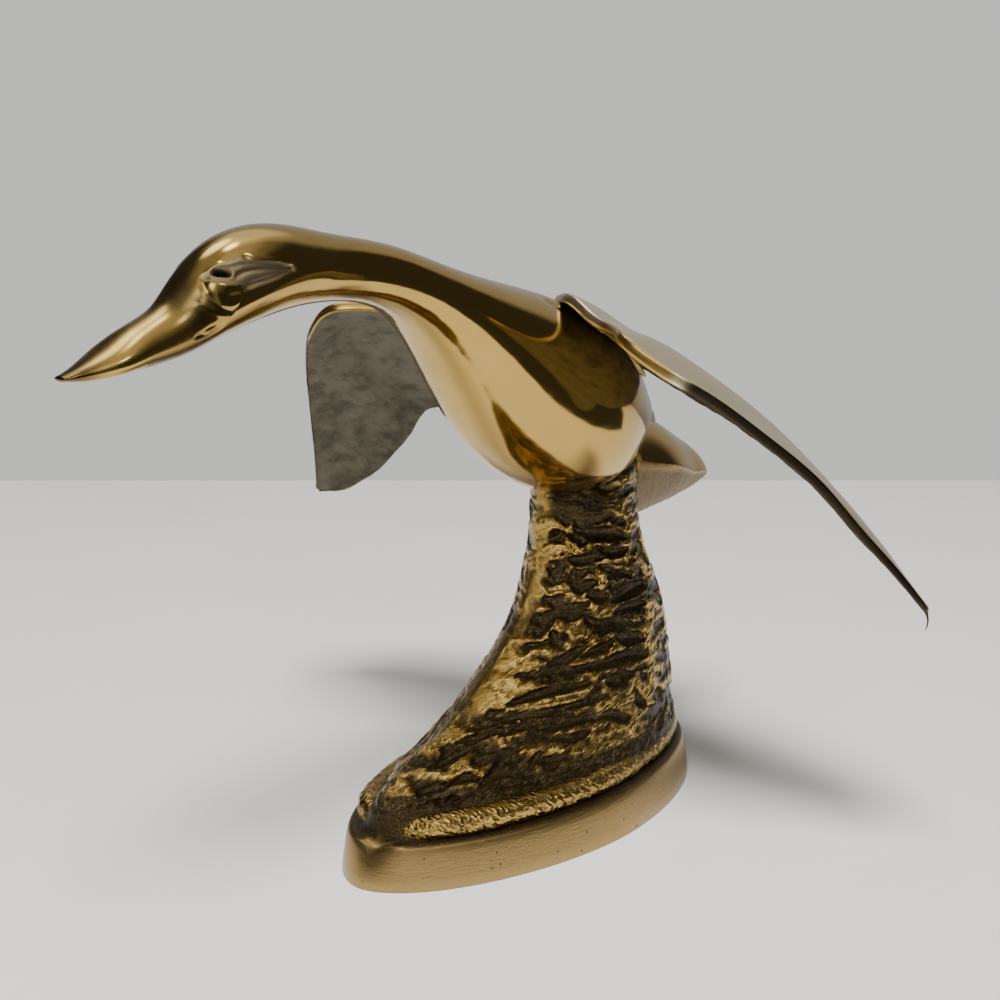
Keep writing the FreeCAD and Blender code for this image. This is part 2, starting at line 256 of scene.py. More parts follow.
def body_rings():
    """Stack of ovals from the bill tip to the rump, with rounded ends."""
    table = np.array(BODY_OVALS)
    stops = run_along(table[:, :2])
    runs = zip(RING_STARTS, (*RING_STARTS[1:], stops[-1]), RING_GAPS)
    at = np.concatenate([np.arange(*run) for run in runs])
    even = np.arange(0, stops[-1], SOFT_GAP)
    soft = soften(through(stops, table, even), SOFT_ROWS)
    soft = np.stack([np.interp(at, even, column) for column in soft.T], 1)
    share = step(SOFT_FROM, SOFT_FULL, at)[:, None]
    rows = through(stops, table, at) * (1 - share) + soft * share
    way = np.gradient(rows[:, :2], axis=0)
    way /= np.linalg.norm(way, axis=1)[:, None]
    turn = all_round(AROUND)
    stack = []
    for (x, z, deep, wide), (wx, wz) in zip(rows, way):
        up = np.cos(turn) * deep
        stack.append(np.stack([x - wz * up, np.sin(turn) * wide, z + wx * up], 1))
    ends = []
    for end, sign in ((0, -1), (-1, 1)):
        reach = np.array([way[end][0], 0, way[end][1]]) * sign * rows[end][2] * END_SHARE
        ends.append(dome(stack[end], reach, END_DEGREES))
    return np.array(ends[0][::-1] + stack + ends[1])


rings = body_rings()
print("body:", rings.shape, "length", round(float(np.ptp(rings[..., 0])), 1), "mm")

# %% [markdown]
# ## The eye, the cheek and the leaves
# These were chased into the metal with a punch. Seen from the side, the eye is a round
# ball under a half-moon hole, inside a recess shaped like a leaf that points to the
# back of the head. Chased lines follow the leaf. A curved edge runs below the ball, and
# a small leaf lies at the corner of the bill. All are drawn in the side view, and the
# distance from a point of the skin to a line decides how deep that point is cut. The
# recess is dull. The place before the eye is painted darker as a dark reflection, and
# the seam of the bill as shade.

# %% Lines of the head, along and height in millimetres
# an oval has its half sizes after its middle, and the ball its radius
EYE_BALL = (-72.6, 139.4, 3.5)
EYE_HOLE = (-72.3, 142.7, 1.75, 1.05)
LEAF_SPINE = (
    (-75.2, 142.0), (-72.5, 142.3), (-68.0, 142.4), (-63.8, 142.5), (-60.0, 142.7), (-56.0, 142.7),
)
LEAF_HALF = (0.5, 1.9, 2.6, 2.0, 1.4, 0.3)
BROW = ((-74.3, 142.3), (-73.2, 143.9), (-71.9, 144.3), (-70.9, 143.6), (-70.3, 142.1))
LEAF_TOP = ((-66.9, 145.4), (-65.8, 144.7), (-63.6, 144.2), (-59.9, 143.9), (-56.4, 143.2))
LEAF_VEIN = (
    (-70.2, 142.0), (-68.7, 142.7), (-67.1, 143.1), (-63.8, 143.2), (-60.2, 142.8), (-56.6, 142.7),
)
LEAF_LOW = (
    (-71.9, 139.3), (-69.5, 139.5), (-65.8, 140.5), (-61.7, 141.2), (-57.8, 141.8), (-56.1, 142.4),
)
EYE_FRONT = (
    (-74.1, 144.8), (-75.1, 142.6), (-76.0, 140.5), (-75.8, 138.3), (-74.3, 136.3), (-72.0, 135.4),
)
EYE_EDGE = ((-77.8, 137.1), (-76.5, 136.1), (-73.2, 134.9))
BILL_LEAF_TOP = ((-79.0, 131.3), (-76.6, 132.6), (-73.9, 133.4))
BILL_LEAF_LOW = ((-79.0, 131.2), (-75.8, 131.5), (-73.7, 132.8))
CHEEK = ((-72.2, 135.4), (-67.9, 136.8), (-62.0, 138.9), (-55.2, 140.4), (-46.0, 141.7))
# line, half width, depth; a depth below zero stands proud
CHASED = (
    (BROW, 0.35, -0.28),
    (LEAF_TOP, 0.34, 0.52),
    (LEAF_VEIN, 0.30, 0.50),
    (LEAF_LOW, 0.38, 0.55),
    (EYE_FRONT, 0.42, 0.26),
    (EYE_EDGE, 0.50, -0.34),
    (BILL_LEAF_TOP, 0.30, 0.26),
    (BILL_LEAF_LOW, 0.30, 0.26),
    (CHEEK, 1.30, -0.22),
)
# the seam of the bill gets painted shade, and the spot before the eye a painted dark reflection
BILL_SEAM, SEAM_HALF = ((-89.8, 126.6), (-82.0, 128.4), (-74.5, 130.6)), 1.6
LORE_PAINTED_DARK = (-78.2, 138.0, 5.2, 4.8)
CARVED_FROM, CARVED_TO = -90, -40
LEAF_DEPTH, BALL_RISE, HOLE_DEPTH, SEAM_SHARE = 0.34, 0.45, 1.4, 0.8
BALL_SHINE, BALL_FADE = (2.2, 1.0), (0.1, 0.6)      # heights above its middle, shares of its rise
HOLE_FLOOR, HOLE_SLOPE = (-0.7, -0.2), 0.14         # the half-moon's straight side
LINE_SHARE, LINE_SPREAD, FAR_SIDE_SHARE = 0.7, 1.5, 0.3     # polishing wore the lines flat and wide
SIDE_FADE = (0.30, 0.62)                # how far sideways the skin faces where carving fades in
LEAF_FADE, DULL_FADE, HOLE_FADE = (0.72, 1.02), (0.95, 1.45), (0.55, 1.05)   # shares of the outline


# %% Distance to a drawn line
def reach_to(spots, line):
    """Distance from each spot to a drawn line, and how far along the line it is, 0 to 1."""
    line = np.asarray(line, float)
    before = run_along(line)
    best = np.full(len(spots), 1e9)
    share = np.zeros(len(spots))
    for a, b, start, run in zip(line[:-1], line[1:], before, np.diff(before)):
        t = np.clip(((spots - a) @ (b - a)) / max(run * run, 1e-9), 0, 1)
        d = np.linalg.norm(spots - (a + t[:, None] * (b - a)), axis=1)
        nearer = d < best
        best[nearer] = d[nearer]
        share[nearer] = ((start + t * run) / before[-1])[nearer]
    return best, share


def oval_reach(spots, oval):
    """1 on the edge of an oval of middle x, z and half sizes, less inside it."""
    x, z, wide, high = oval
    return np.hypot((spots[:, 0] - x) / wide, (spots[:, 1] - z) / high)


# %% Carve the head
def carve_head(stack):
    """The head's rings with the eye and its lines cut in, and marks for dull metal, the dark hole and the
    painted dark reflection and shade.
    """
    flat = stack.reshape(-1, 3)
    normals = outward(stack).reshape(-1, 3)
    near = (flat[:, 0] < CARVED_TO) & (flat[:, 0] > CARVED_FROM)
    side = step(*SIDE_FADE, np.abs(normals[near][:, 1]))
    spots = flat[near][:, [0, 2]]
    d, share = reach_to(spots, LEAF_SPINE)
    leaf = d / np.interp(share, np.linspace(0, 1, len(LEAF_HALF)), LEAF_HALF)
    inside = 1 - step(*LEAF_FADE, leaf)
    x, z, radius = EYE_BALL
    ball = np.sqrt(np.clip(1 - oval_reach(spots, (x, z, radius, radius)) ** 2, 0, 1))
    shiny = step(*BALL_FADE, ball) * step(*BALL_SHINE, spots[:, 1] - z)
    dull = (1 - step(*DULL_FADE, leaf)) * (1 - 0.75 * shiny)
    x, z = EYE_HOLE[:2]
    above = step(*HOLE_FLOOR, spots[:, 1] - z + HOLE_SLOPE * (spots[:, 0] - x))
    hole = (1 - step(*HOLE_FADE, oval_reach(spots, EYE_HOLE))) * above
    lift = BALL_RISE * ball * (1 - 0.6 * inside) - LEAF_DEPTH * inside - HOLE_DEPTH * hole
    for line, width, depth in CHASED:
        d, _ = reach_to(spots, line)
        lift -= LINE_SHARE * depth * np.exp(-((d / (LINE_SPREAD * width)) ** 2))
    lift *= np.where(normals[near][:, 1] > 0, FAR_SIDE_SHARE, 1)
    flat[near] += normals[near] * (lift * side)[:, None]
    # painted shade along the bill's seam and a painted dark reflection before the eye
    seam, _ = reach_to(spots, BILL_SEAM)
    spot = np.exp(-(oval_reach(spots, LORE_PAINTED_DARK) ** 2))
    painted_dark = np.maximum(spot, SEAM_SHARE * np.exp(-((seam / SEAM_HALF) ** 2)))
    marks = {}
    for name, values in (("dull", dull * side), ("hole", hole * side), ("painted_dark", painted_dark)):
        marks[name] = np.zeros(len(flat))
        marks[name][near] = values
    return flat.reshape(stack.shape), marks


rings, marks = carve_head(rings)
print("dull points on the head:", int((marks["dull"] > 0.5).sum()))

# %% The casting flaw by the near wing's root, and the skin
# middle, radius, depth
WING_FLAW = (((23.2, -10.8, 129.3), 1.7, 0.8), ((25.6, -12.4, 127.6), 1.1, 0.5))
HAND_FROM, HAND_FULL, HAND_LEAST = -62, -30, 0.35      # the head was smoothed with more care

rings = dented(rings, WING_FLAW)
marks["hand"] = HAND_LEAST + (1 - HAND_LEAST) * step(HAND_FROM, HAND_FULL, rings[..., 0])
duck = skin("duck_casting", rings, marks)

# %% [markdown]
# ## The tail
# The tail is a wedge: two polished facets meet in a ridge on top, and two rough sides
# meet in a keel below. Its four edges are listed at six stations. The corners are
# rounded by softening each ring, as a file would do it.

# %% Sections of the tail
# along, height of ridge, corner and keel, half width at the corner
TAIL_WEDGE = (
    (60.0, 101.0, 85.4, 68.2, 11.3),
    (66.0, 98.6, 83.9, 68.1, 11.0),
    (81.0, 92.0, 80.6, 69.0, 9.5),
    (93.0, 85.4, 77.0, 70.4, 6.0),
    (102.0, 79.4, 75.5, 72.2, 3.0),
    (105.7, 75.5, 74.3, 73.3, 0.8),
)
TAIL_RINGS, FACET_POINTS = 110, 24
BOW_SHARE = 0.12
TAIL_NOSE, TAIL_DEGREES = np.array([0.3, 0, 0]), (30, 60, 84)


def tail_rings():
    """Rings of the wedge, and which of their points are rough."""
    table = np.array(TAIL_WEDGE)
    rows = through(table[:, 0], table, np.linspace(table[0, 0], table[-1, 0], TAIL_RINGS))
    t = np.linspace(0, 1, FACET_POINTS, endpoint=False)[:, None]
    stack = []
    for x, ridge, corner, keel, half in rows:
        corners = np.array([(x, 0, ridge), (x, half, corner), (x, 0, keel), (x, -half, corner)])
        ring = []
        for a, b in zip(corners, np.roll(corners, -1, 0)):
            out = (a + b) / 2 - (x, 0, corner)
            out /= np.linalg.norm(out)
            bow = 4 * t * (1 - t) * BOW_SHARE * np.linalg.norm(b - a)
            ring.append(a + (b - a) * t + bow * out)
        stack.append(ease(np.concatenate(ring)))
    stack += dome(stack[-1], TAIL_NOSE, TAIL_DEGREES)
    rough = np.zeros(4 * FACET_POINTS)
    rough[FACET_POINTS + 1 : 3 * FACET_POINTS] = 1
    for _ in range(3):
        rough = ease(rough)
    return np.array(stack), np.tile(rough, (len(stack), 1))


tail_stack, rough = tail_rings()
tail = skin("tail_wedge", tail_stack, {"matte": rough})

# %% [markdown]
# ## The wings
# Each wing is one thin plate. It is listed as twelve sections from the back of the duck
# to the tip: where the leading and the trailing edge are, how far the plate bulges up
# between them, and how thick it is. The nose of each section is round and the back
# edge is thinner. The nose carries a painted gold reflection along the middle of the
# wing and painted shade along the tip. The second wing is the first one mirrored,
# without the thin curl of metal that the mould left at the left wing's tip.

# %% Sections of a wing
# leading edge along, out, height; trailing edge along, out, height; bulge; thickness
WING_ROWS = (
    (34.0, 2.6, 126.9, 61.9, 1.8, 111.0, 1.2, 2.40),
    (29.3, 8.8, 128.5, 61.6, 5.6, 110.4, 1.6, 2.40),
    (22.3, 22.0, 125.5, 65.1, 24.0, 101.6, 2.5, 2.40),
    (13.5, 35.0, 124.3, 64.1, 38.0, 96.6, 3.4, 2.40),
    (5.2, 44.0, 123.6, 61.1, 50.0, 93.0, 3.8, 2.40),
    (7.0, 51.3, 118.6, 58.1, 58.0, 91.8, 3.5, 2.40),
    (13.2, 59.8, 112.4, 59.6, 66.0, 84.8, 2.0, 2.35),
    (21.6, 68.8, 103.5, 60.6, 73.5, 77.6, 1.6, 2.28),
    (30.7, 77.3, 93.2, 60.1, 80.0, 71.5, 1.0, 2.16),
    (38.0, 83.8, 82.4, 58.1, 86.0, 67.2, 0.8, 1.97),
    (44.1, 89.5, 73.7, 55.1, 90.5, 64.7, 0.4, 1.68),
    (49.2, 94.4, 65.5, 50.9, 94.9, 64.5, 0.2, 1.32),
)
ARCH_AT, ARCH = (0.0, 0.2, 0.45, 0.72, 1.0), ((0.0,), (0.8,), (1.0,), (0.68,), (0.0,))
WING_RINGS, CHORD_POINTS = 190, 46
THINNEST, BACK_SHARE = 0.8, 0.6
EDGE_DEGREES, EDGE_OVAL, EDGE_ROUND = (-60, -30, 0, 30, 60), 1.1, 0.16
# where the nose's painted gold reflection and painted shade fade in, along the wing
PAINTED_GOLD_REACH, PAINTED_DARK_REACH = (24, 30), (52, 58)       # how far out each of them fades in
# the curl: back and down from the tip, and its size as a share of the tip's
TIP_CURL = ((0.5, 0.9, 0.55), (1.1, 2.0, 0.34), (1.5, 3.1, 0.26), (1.2, 4.2, 0.20), (0.4, 4.9, 0.12))


def plate_edge(corner, up, way, depth):
    """Points of a rounded edge from the under side up; way leads into the plate."""
    turns = np.radians(EDGE_DEGREES)
    rise = depth / 2 * (1 + EDGE_OVAL * np.sin(turns))
    inward = depth * EDGE_ROUND * (1 - np.cos(turns))
    return corner + np.outer(rise, up) + np.outer(inward, way)


def plate_section(lead, chord, up, bulge, thick):
    """Ring round one section: under side, back edge, upper side and nose."""
    s = (1 - np.cos(np.linspace(0, math.pi, CHORD_POINTS))) / 2
    arch = through(ARCH_AT, ARCH, s)[:, 0]
    length = np.linalg.norm(chord)
    way = chord / length
    under = lead + np.outer(s, chord) + np.outer(bulge * arch, up)
    depth = thick * (1 - (1 - BACK_SHARE) * s)
    over = under + depth[:, None] * up
    nose = plate_edge(under[0], up, way, depth[0])
    heel = plate_edge(under[-1], up, -way, depth[-1])
    start = under[0] + way * depth[0] * EDGE_ROUND
    end = under[-1] - way * depth[-1] * EDGE_ROUND
    margin = depth[0] * EDGE_ROUND / length
    for points, front, back in ((under, start, end), (over, start + up * depth[0], end + up * depth[-1])):
        points[s <= margin] = front
        points[s >= 1 - margin] = back
    return np.concatenate([under, heel, over[::-1], nose[::-1]])


# %% Both wings
def wing_rings(side):
    """Rings round a wing's sections, with marks for the cast under side and for the nose's painted gold
    reflection and painted shade.
    """
    table = np.array(WING_ROWS)
    stops = run_along((table[:, :3] + table[:, 3:6]) / 2)
    rows = through(stops, table, np.linspace(0, stops[-1], WING_RINGS))
    lead = rows[:, :3] * (1, side, 1)
    chord = rows[:, 3:6] * (1, side, 1) - lead
    up = np.cross(chord, np.gradient(2 * lead + chord, axis=0) * side)
    up /= np.linalg.norm(up, axis=1)[:, None]
    thick = np.maximum(rows[:, 7], THINNEST)
    stack = [plate_section(*section) for section in zip(lead, chord, up, rows[:, 6], thick)]
    # the nose is painted: a painted gold reflection in the middle of the wing, painted shade towards the
    # tip
    dark = step(*PAINTED_DARK_REACH, rows[:, 1])
    rim = dark - step(*PAINTED_GOLD_REACH, rows[:, 1]) * (1 - dark)
    if side < 0:
        curl = shrunk(stack[-1], [size for *_, size in TIP_CURL])
        stack += [ring + (back, 0, -down) for ring, (back, down, _) in zip(curl, TIP_CURL)]
        rim = np.append(rim, [rim[-1]] * len(curl))
    on_nose, cast = np.zeros((2, len(stack[0])))
    on_nose[:3] = on_nose[-len(EDGE_DEGREES) :] = 1
    cast[:CHORD_POINTS] = 1
    return np.array(stack), {"cast": np.tile(cast, (len(stack), 1)), "rim": np.outer(rim, on_nose)}


wings = {word: skin(f"{word}_wing_plate", *wing_rings(side)) for side, word in ((-1, "left"), (1, "right"))}

# %% [markdown]
# ## The rock
# The rock leans back from a wide oval foot to a column under the belly. Its level
# outlines are listed at nine heights. The front of each outline narrows to a prow. The
# foot below it is a band, a groove and a bead. The casting is hollow underneath, so the
# skin runs down the outside, under the rim and up again inside.

# %% Sections of the rock and its foot
# height, front, back, half width
ROCK_ROWS = (
    (10.5, -25.8, 82.2, 25.0),
    (18.3, -23.0, 82.2, 22.3),
    (25.8, -8.5, 81.9, 19.8),
    (35.1, 6.9, 80.7, 17.8),
    (45.1, 19.9, 78.1, 16.0),
    (55.2, 27.5, 73.1, 15.0),
    (65.6, 31.8, 67.1, 13.8),
    (76.1, 32.4, 65.8, 12.5),
    (90.0, 32.6, 66.7, 11.5),
)
WAIST_SHARE, PROW = 0.58, 1.5
FOOT_MIDDLE, FOOT_LONG, FOOT_WIDE, FOOT_BLUNT = 28.25, 60.6, 29.25, 1.8
# inset and height of the foot's rim, band, shoulder, groove and ledge
FOOT_PROFILE = (
    (0.55, 0.0), (0.15, 0.15), (0.0, 0.6), (0.3, 3.0), (0.8, 6.0), (1.2, 8.2), (1.6, 9.6), (2.0, 10.3),
    (2.6, 10.7), (3.3, 10.8), (4.0, 10.7), (5.0, 10.9), (6.2, 11.8), (7.2, 13.2), (8.2, 14.8),
)
WALL, RIM_WIDE = 4.5, 6.0
HOLLOW_TOP, HOLLOW_LOW, HOLLOW_RINGS, FLARE_RINGS = 65.0, 10.5, 46, 10
ROCK_LOW, ROCK_TOP, ROCK_GAP = 15.6, 89.0, 0.46
CEILING_SHARES, CROWN_SHARES = (0.15, 0.4, 0.65, 0.85), (0.8, 0.5, 0.2)
RING = 400


def rock_rows(heights):
    """Height, front, back and half width of the rock at some heights."""
    table = np.array(ROCK_ROWS)
    return through(table[:, 0], table, heights)


def rock_outline(row, turn, inset=0.0):
    """Along and out, on the rock's level outline, at some turns from the back."""
    _, front, back, half = row
    front, back, half = front + inset, back - inset, half - inset
    waist = front + WAIST_SHARE * (back - front)
    c, s = np.cos(turn), np.sin(turn)
    x = waist + c * np.where(c > 0, back - waist, waist - front)
    return x, np.sign(s) * np.abs(s) ** np.where(c > 0, 1, PROW) * half


def rock_ring(row, inset=0.0):
    """One level outline of the rock."""
    return np.stack([*rock_outline(row, all_round(RING), inset), np.full(RING, row[0])], 1)


def foot_ring(inset, z):
    """One level outline of the foot."""
    c, s = np.cos(all_round(RING)), np.sin(all_round(RING))
    power = 2 / FOOT_BLUNT
    x = FOOT_MIDDLE + np.sign(c) * np.abs(c) ** power * (FOOT_LONG - inset)
    y = np.sign(s) * np.abs(s) ** power * (FOOT_WIDE - inset)
    return np.stack([x, y, np.full(RING, z)], 1)


# %% The rock's rings, from the ceiling of the hollow down, under the rim and up outside
hollow = [rock_ring(row, WALL) for row in rock_rows(np.linspace(HOLLOW_TOP, HOLLOW_LOW, HOLLOW_RINGS))]
rim = foot_ring(RIM_WIDE, 0.0)
flare = [hollow[-1] + (rim - hollow[-1]) * t for t in np.linspace(0.1, 1.0, FLARE_RINGS)]
ceiling = shrunk(hollow[0], CEILING_SHARES)
foot = [foot_ring(inset, z) for inset, z in FOOT_PROFILE]
outside = [rock_ring(row) for row in rock_rows(np.arange(ROCK_LOW, ROCK_TOP, ROCK_GAP))]
outside += shrunk(outside[-1], CROWN_SHARES)
within = ceiling + hollow + flare
rock_stack = np.array(within + foot + outside)
print("rings inside, on the foot and outside:", len(within), len(foot), len(outside))

# %% [markdown]
# The prow swells in three places and is knocked in at its corner. Its ridge and a
# collar under the belly were rubbed smooth, so the carving is shallower there. The
# groove above the bead and the prow's notch are darkened with painted shade, and part
# of the collar with a painted dark reflection.

# %% Shape and mark the rock
# middle, radius, depth
PROW_SHAPE = (
    ((-20.0, 0.5, 21.0), 7.0, -1.3),
    ((-25.5, 0.0, 15.5), 5.5, -1.2),
    ((-11.0, 0.0, 26.0), 6.0, -1.6),
    ((-29.8, -2.0, 10.8), 4.5, 2.0),
)
PROW_NOTCH, NOTCH_FADE = (-30.2, -2.0, 10.6), (6.0, 3.0)
# where each mark fades in and out: degrees round the rock from the back, and heights
RIDGE_TURN, RIDGE_END, RIDGE_LOW, RIDGE_SHARE = (148, 162), (206, 196), (26, 34), 0.65
COLLAR_TURN, COLLAR_END, COLLAR_FOOT, COLLAR_SHARE = (150, 170), (285, 235), (71, 76), 0.60
COLLAR_DARK, COLLAR_DARK_SHARE = (192, 210), 0.8
GROOVE_LOW, GROOVE_TOP, BAND_TOP, CARVED_LOW = (10.15, 10.45), (21.0, 17.5), (10.4, 10.0), (15.0, 18.0)

rock_stack[len(within) :] = dented(rock_stack[len(within) :], PROW_SHAPE)
tall = rock_stack[..., 2]
turn = np.degrees(all_round(RING))
zone = np.repeat((-1, 0, 1), (len(within), len(foot), len(outside)))[:, None]
ridge = step(*RIDGE_TURN, turn) * step(*RIDGE_END, turn) * step(*RIDGE_LOW, tall) * RIDGE_SHARE
collar = step(*COLLAR_TURN, turn) * step(*COLLAR_END, turn) * step(*COLLAR_FOOT, tall) * COLLAR_SHARE
# painted shade in the prow's notch and the groove above the bead, and a painted dark reflection on part of
# the collar, together in the shade mark
notch = step(*NOTCH_FADE, np.linalg.norm(rock_stack - np.array(PROW_NOTCH), axis=2))
groove = step(*GROOVE_LOW, tall) * step(*GROOVE_TOP, tall)
collar_shade_paint = COLLAR_DARK_SHARE * collar * step(*COLLAR_DARK, turn)
shade = np.maximum(np.maximum(groove, notch), collar_shade_paint)
carved = step(*CARVED_LOW, tall) * (1 - np.maximum(ridge, collar))
marks = {
    "inside": (zone < 0) + tall * 0,
    "band": (zone == 0) * step(*BAND_TOP, tall),
    "shade": (zone >= 0) * shade,
    "carved": (zone > 0) * carved,
}
rock = skin("rock_casting", rock_stack, marks)

# %% [markdown]
# ## Two helpers for node trees
# A Wire is one output of a node. Plus, minus, times and the rest make a Math node when
# they meet a wire, so a formula reads as it would on paper. A Bench adds any other node
# to a tree with its settings and sockets in one line. Both serve shaders and geometry.


# %% Wires
class Wire:
    """An output socket that can be used in a formula."""

    def __init__(self, bench, socket):
        self.bench, self.socket = bench, socket

    def math(self, kind, *others):
        """A Math node of this kind, with this wire first."""
        return self.bench.add("ShaderNodeMath", {"operation": kind}, dict(enumerate((self, *others))))

    def after(self, kind, other):
        """The same with this wire second, for a number on the left."""
        return self.bench.add("ShaderNodeMath", {"operation": kind}, {0: other, 1: self})

    def __add__(self, other):
        return self.math("ADD", other)

    def __radd__(self, other):
        return self.after("ADD", other)

    def __sub__(self, other):
        return self.math("SUBTRACT", other)

    def __rsub__(self, other):
        return self.after("SUBTRACT", other)

    def __mul__(self, other):
        return self.math("MULTIPLY", other)

    def __rmul__(self, other):
        return self.after("MULTIPLY", other)

    def __truediv__(self, other):
        return self.math("DIVIDE", other)

    def __rtruediv__(self, other):
        return self.after("DIVIDE", other)

    def __pow__(self, other):
        return self.math("POWER", other)

    def least(self, other):
        return self.math("MINIMUM", other)

    def most(self, other):
        return self.math("MAXIMUM", other)


# %% The bench
class Bench:
    """Adds nodes to one tree."""

    def __init__(self, tree):
        self.tree = tree

    def add(self, kind, settings=None, sockets=None, out=0):
        """A node with its settings, then the value or the wire of each socket; gives one output."""
        node = self.tree.nodes.new(kind)
        for key, value in (settings or {}).items():
            setattr(node, key, value)
        for key, value in (sockets or {}).items():
            if isinstance(value, Wire):
                self.tree.links.new(value.socket, node.inputs[key])
            else:
                node.inputs[key].default_value = value
        return Wire(self, node.outputs[out]) if len(node.outputs) else node

    def axis(self, where, name):
        return self.add("ShaderNodeSeparateXYZ", {}, {0: where}, name)

    def moved(self, where, by):
        return self.add("ShaderNodeVectorMath", {"operation": "ADD"}, {0: where, 1: by})

    def stretched(self, where, shares):
        return self.add("ShaderNodeVectorMath", {"operation": "MULTIPLY"}, {0: where, 1: shares})

    def scaled(self, vector, size):
        return self.add("ShaderNodeVectorMath", {"operation": "SCALE"}, {0: vector, "Scale": size})

    def rise(self, value, low, high):
        """0 below low, 1 above high, and an even S between them."""
        return self.add("ShaderNodeMapRange", {"interpolation_type": "SMOOTHSTEP"},
                        {"Value": value, "From Min": low, "From Max": high})

    def lumps(self, where, scale, detail, rough=0.5, out=0):
        """Soft noise from 0 to 1 with about this many lumps to the metre."""
        return self.add("ShaderNodeTexNoise", {},
                        {"Vector": where, "Scale": scale, "Detail": detail, "Roughness": rough}, out)

    def noise(self, where, size_mm, detail, rough=0.5, shift=0.0):
        """The same with lumps of about this size, taken from a place of its own."""
        moved = self.moved(where, (shift, shift * 0.7, shift * 1.3))
        return self.lumps(moved, 1 / (size_mm * MM), detail, rough)


print("wires make Math nodes; the bench makes the rest")

# %% [markdown]
# ## A casting's skin
# Metal poured in sand keeps the grain of the sand where nobody filed it: below the
# wings and on the sides of the tail. This tree pushes each point along its normal by
# two noises, only where a mark on the piece says so. It serves several pieces, so how
# deep and how coarse it is are inputs of the tree. The same tree gives the polished
# body the long slow waves of a form that was smoothed by hand.


# %% Making, ending and running a tree
def new_tree(name, **inputs):
    """Geometry tree with inputs of some kinds, its bench and the wires of its inputs."""
    tree = bpy.data.node_groups.new(name, "GeometryNodeTree")
    for label, kind in {"Geometry": "Geometry", **inputs}.items():
        tree.interface.new_socket(label, in_out="INPUT", socket_type=f"NodeSocket{kind}")
    tree.interface.new_socket("Geometry", in_out="OUTPUT", socket_type="NodeSocketGeometry")
    bench = Bench(tree)
    start = tree.nodes.new("NodeGroupInput")
    return tree, bench, {s.name: Wire(bench, s) for s in start.outputs if s.name}


def close_tree(tree, bench, geometry, material):
    """Realizes what was made, gives it its material and ends the tree."""
    real = bench.add("GeometryNodeRealizeInstances", {}, {0: geometry})
    shown = bench.add("GeometryNodeSetMaterial", {}, {0: real, "Material": material})
    bench.add("NodeGroupOutput", {}, {0: shown})
    return tree


def run_tree(piece, tree, values):
    """Runs a tree on a piece once and keeps the result as a plain mesh."""
    modifier = piece.modifiers.new(tree.name, "NODES")
    modifier.node_group = tree
    for item in tree.interface.items_tree:
        if item.item_type == "SOCKET" and item.in_out == "INPUT" and item.name in values:
            modifier[item.identifier] = values[item.name]
    bpy.context.view_layer.update()
    ready = piece.evaluated_get(bpy.context.evaluated_depsgraph_get())
    mesh = bpy.data.meshes.new_from_object(ready)
    piece.modifiers.remove(modifier)
    piece.data = mesh
    mesh.shade_smooth()
    print(f"{piece.name} after {tree.name}: {len(mesh.polygons)} faces")


# %% Steps that the trees share
def stored(b, name):
    """A number that was kept on the points."""
    return b.add("GeometryNodeInputNamedAttribute", {"data_type": "FLOAT"}, {"Name": name})


def store(b, geometry, name, value):
    """Keeps a number on each point, for the finish to read."""
    return b.add("GeometryNodeStoreNamedAttribute", {"data_type": "FLOAT", "domain": "POINT"},
                 {0: geometry, "Name": name, "Value": value})


def push_out(b, geometry, height):
    """Moves each point along its normal."""
    push = b.scaled(b.add("GeometryNodeInputNormal"), height)
    return b.add("GeometryNodeSetPosition", {}, {0: geometry, "Offset": push})


# %% The cast skin as a tree
def grain_tree():
    tree, b, given = new_tree("cast_grain", Mark="String", Depth="Float", Lump="Float", Seed="Float",
                              Finish="Material")
    shift = b.add("ShaderNodeCombineXYZ", {}, {0: given["Seed"], 1: given["Seed"] * 1.7})
    place = b.moved(b.add("GeometryNodeInputPosition"), shift)
    coarse = b.lumps(place, 1000 / given["Lump"], 3.0)
    fine = b.lumps(place, 3200 / given["Lump"], 2.0)
    height = (coarse - 0.62) * 1.5 + (fine - 0.6) * 0.6
    pushed = push_out(b, given["Geometry"], height * stored(b, given["Mark"]) * given["Depth"])
    return close_tree(tree, b, pushed, given["Finish"])


cast_grain = grain_tree()

# %% [markdown]
# ## Metals
# All of it is brass, worked in different ways. Each finish starts from two yellows and
# lays other colours over them, each by its share. Patina is the brown oxide that stays
# where the polishing wheel can't reach: in the cuts of the rock, in the eye and at the
# tip of the bill. The same brown is painted as shade in the rock's groove above the bead
# and in the prow's notch, and as a dark reflection on part of the collar. Painted dark
# reflection and shade also lie before the eye and along the bill's seam, and the wing's
# nose carries a painted gold reflection and painted shade. The marks on the pieces say
# where all of that is. The rock's cuts go into the bump too, because they catch the light
# as if they were deeper.

# %% Colours of the brass
BRASS_BRIGHT = (0.51, 0.340, 0.098, 1)
BRASS_WARM = (0.40, 0.260, 0.072, 1)
BRASS_DULL = (0.30, 0.27, 0.205, 1)
BRASS_PAINTED_DARK = (0.08, 0.058, 0.032, 1)
BRASS_ROUGH = (0.155, 0.12, 0.075, 1)
BRASS_BAND = (0.36, 0.25, 0.10, 1)
BRASS_COLLAR = (0.30, 0.27, 0.22, 1)
BRASS_BURNT = (0.16, 0.11, 0.06, 1)
PATINA_AND_SHADE = (0.021, 0.016, 0.010, 1)
SAND_SKIN = (0.175, 0.160, 0.115, 1)
SAND_STAIN = (0.085, 0.078, 0.055, 1)
WING_PALE = (0.86, 0.74, 0.50, 1)
WING_GOLD = (0.72, 0.56, 0.30, 1)
WING_NOSE_SHADE_PAINT = (0.055, 0.042, 0.026, 1)
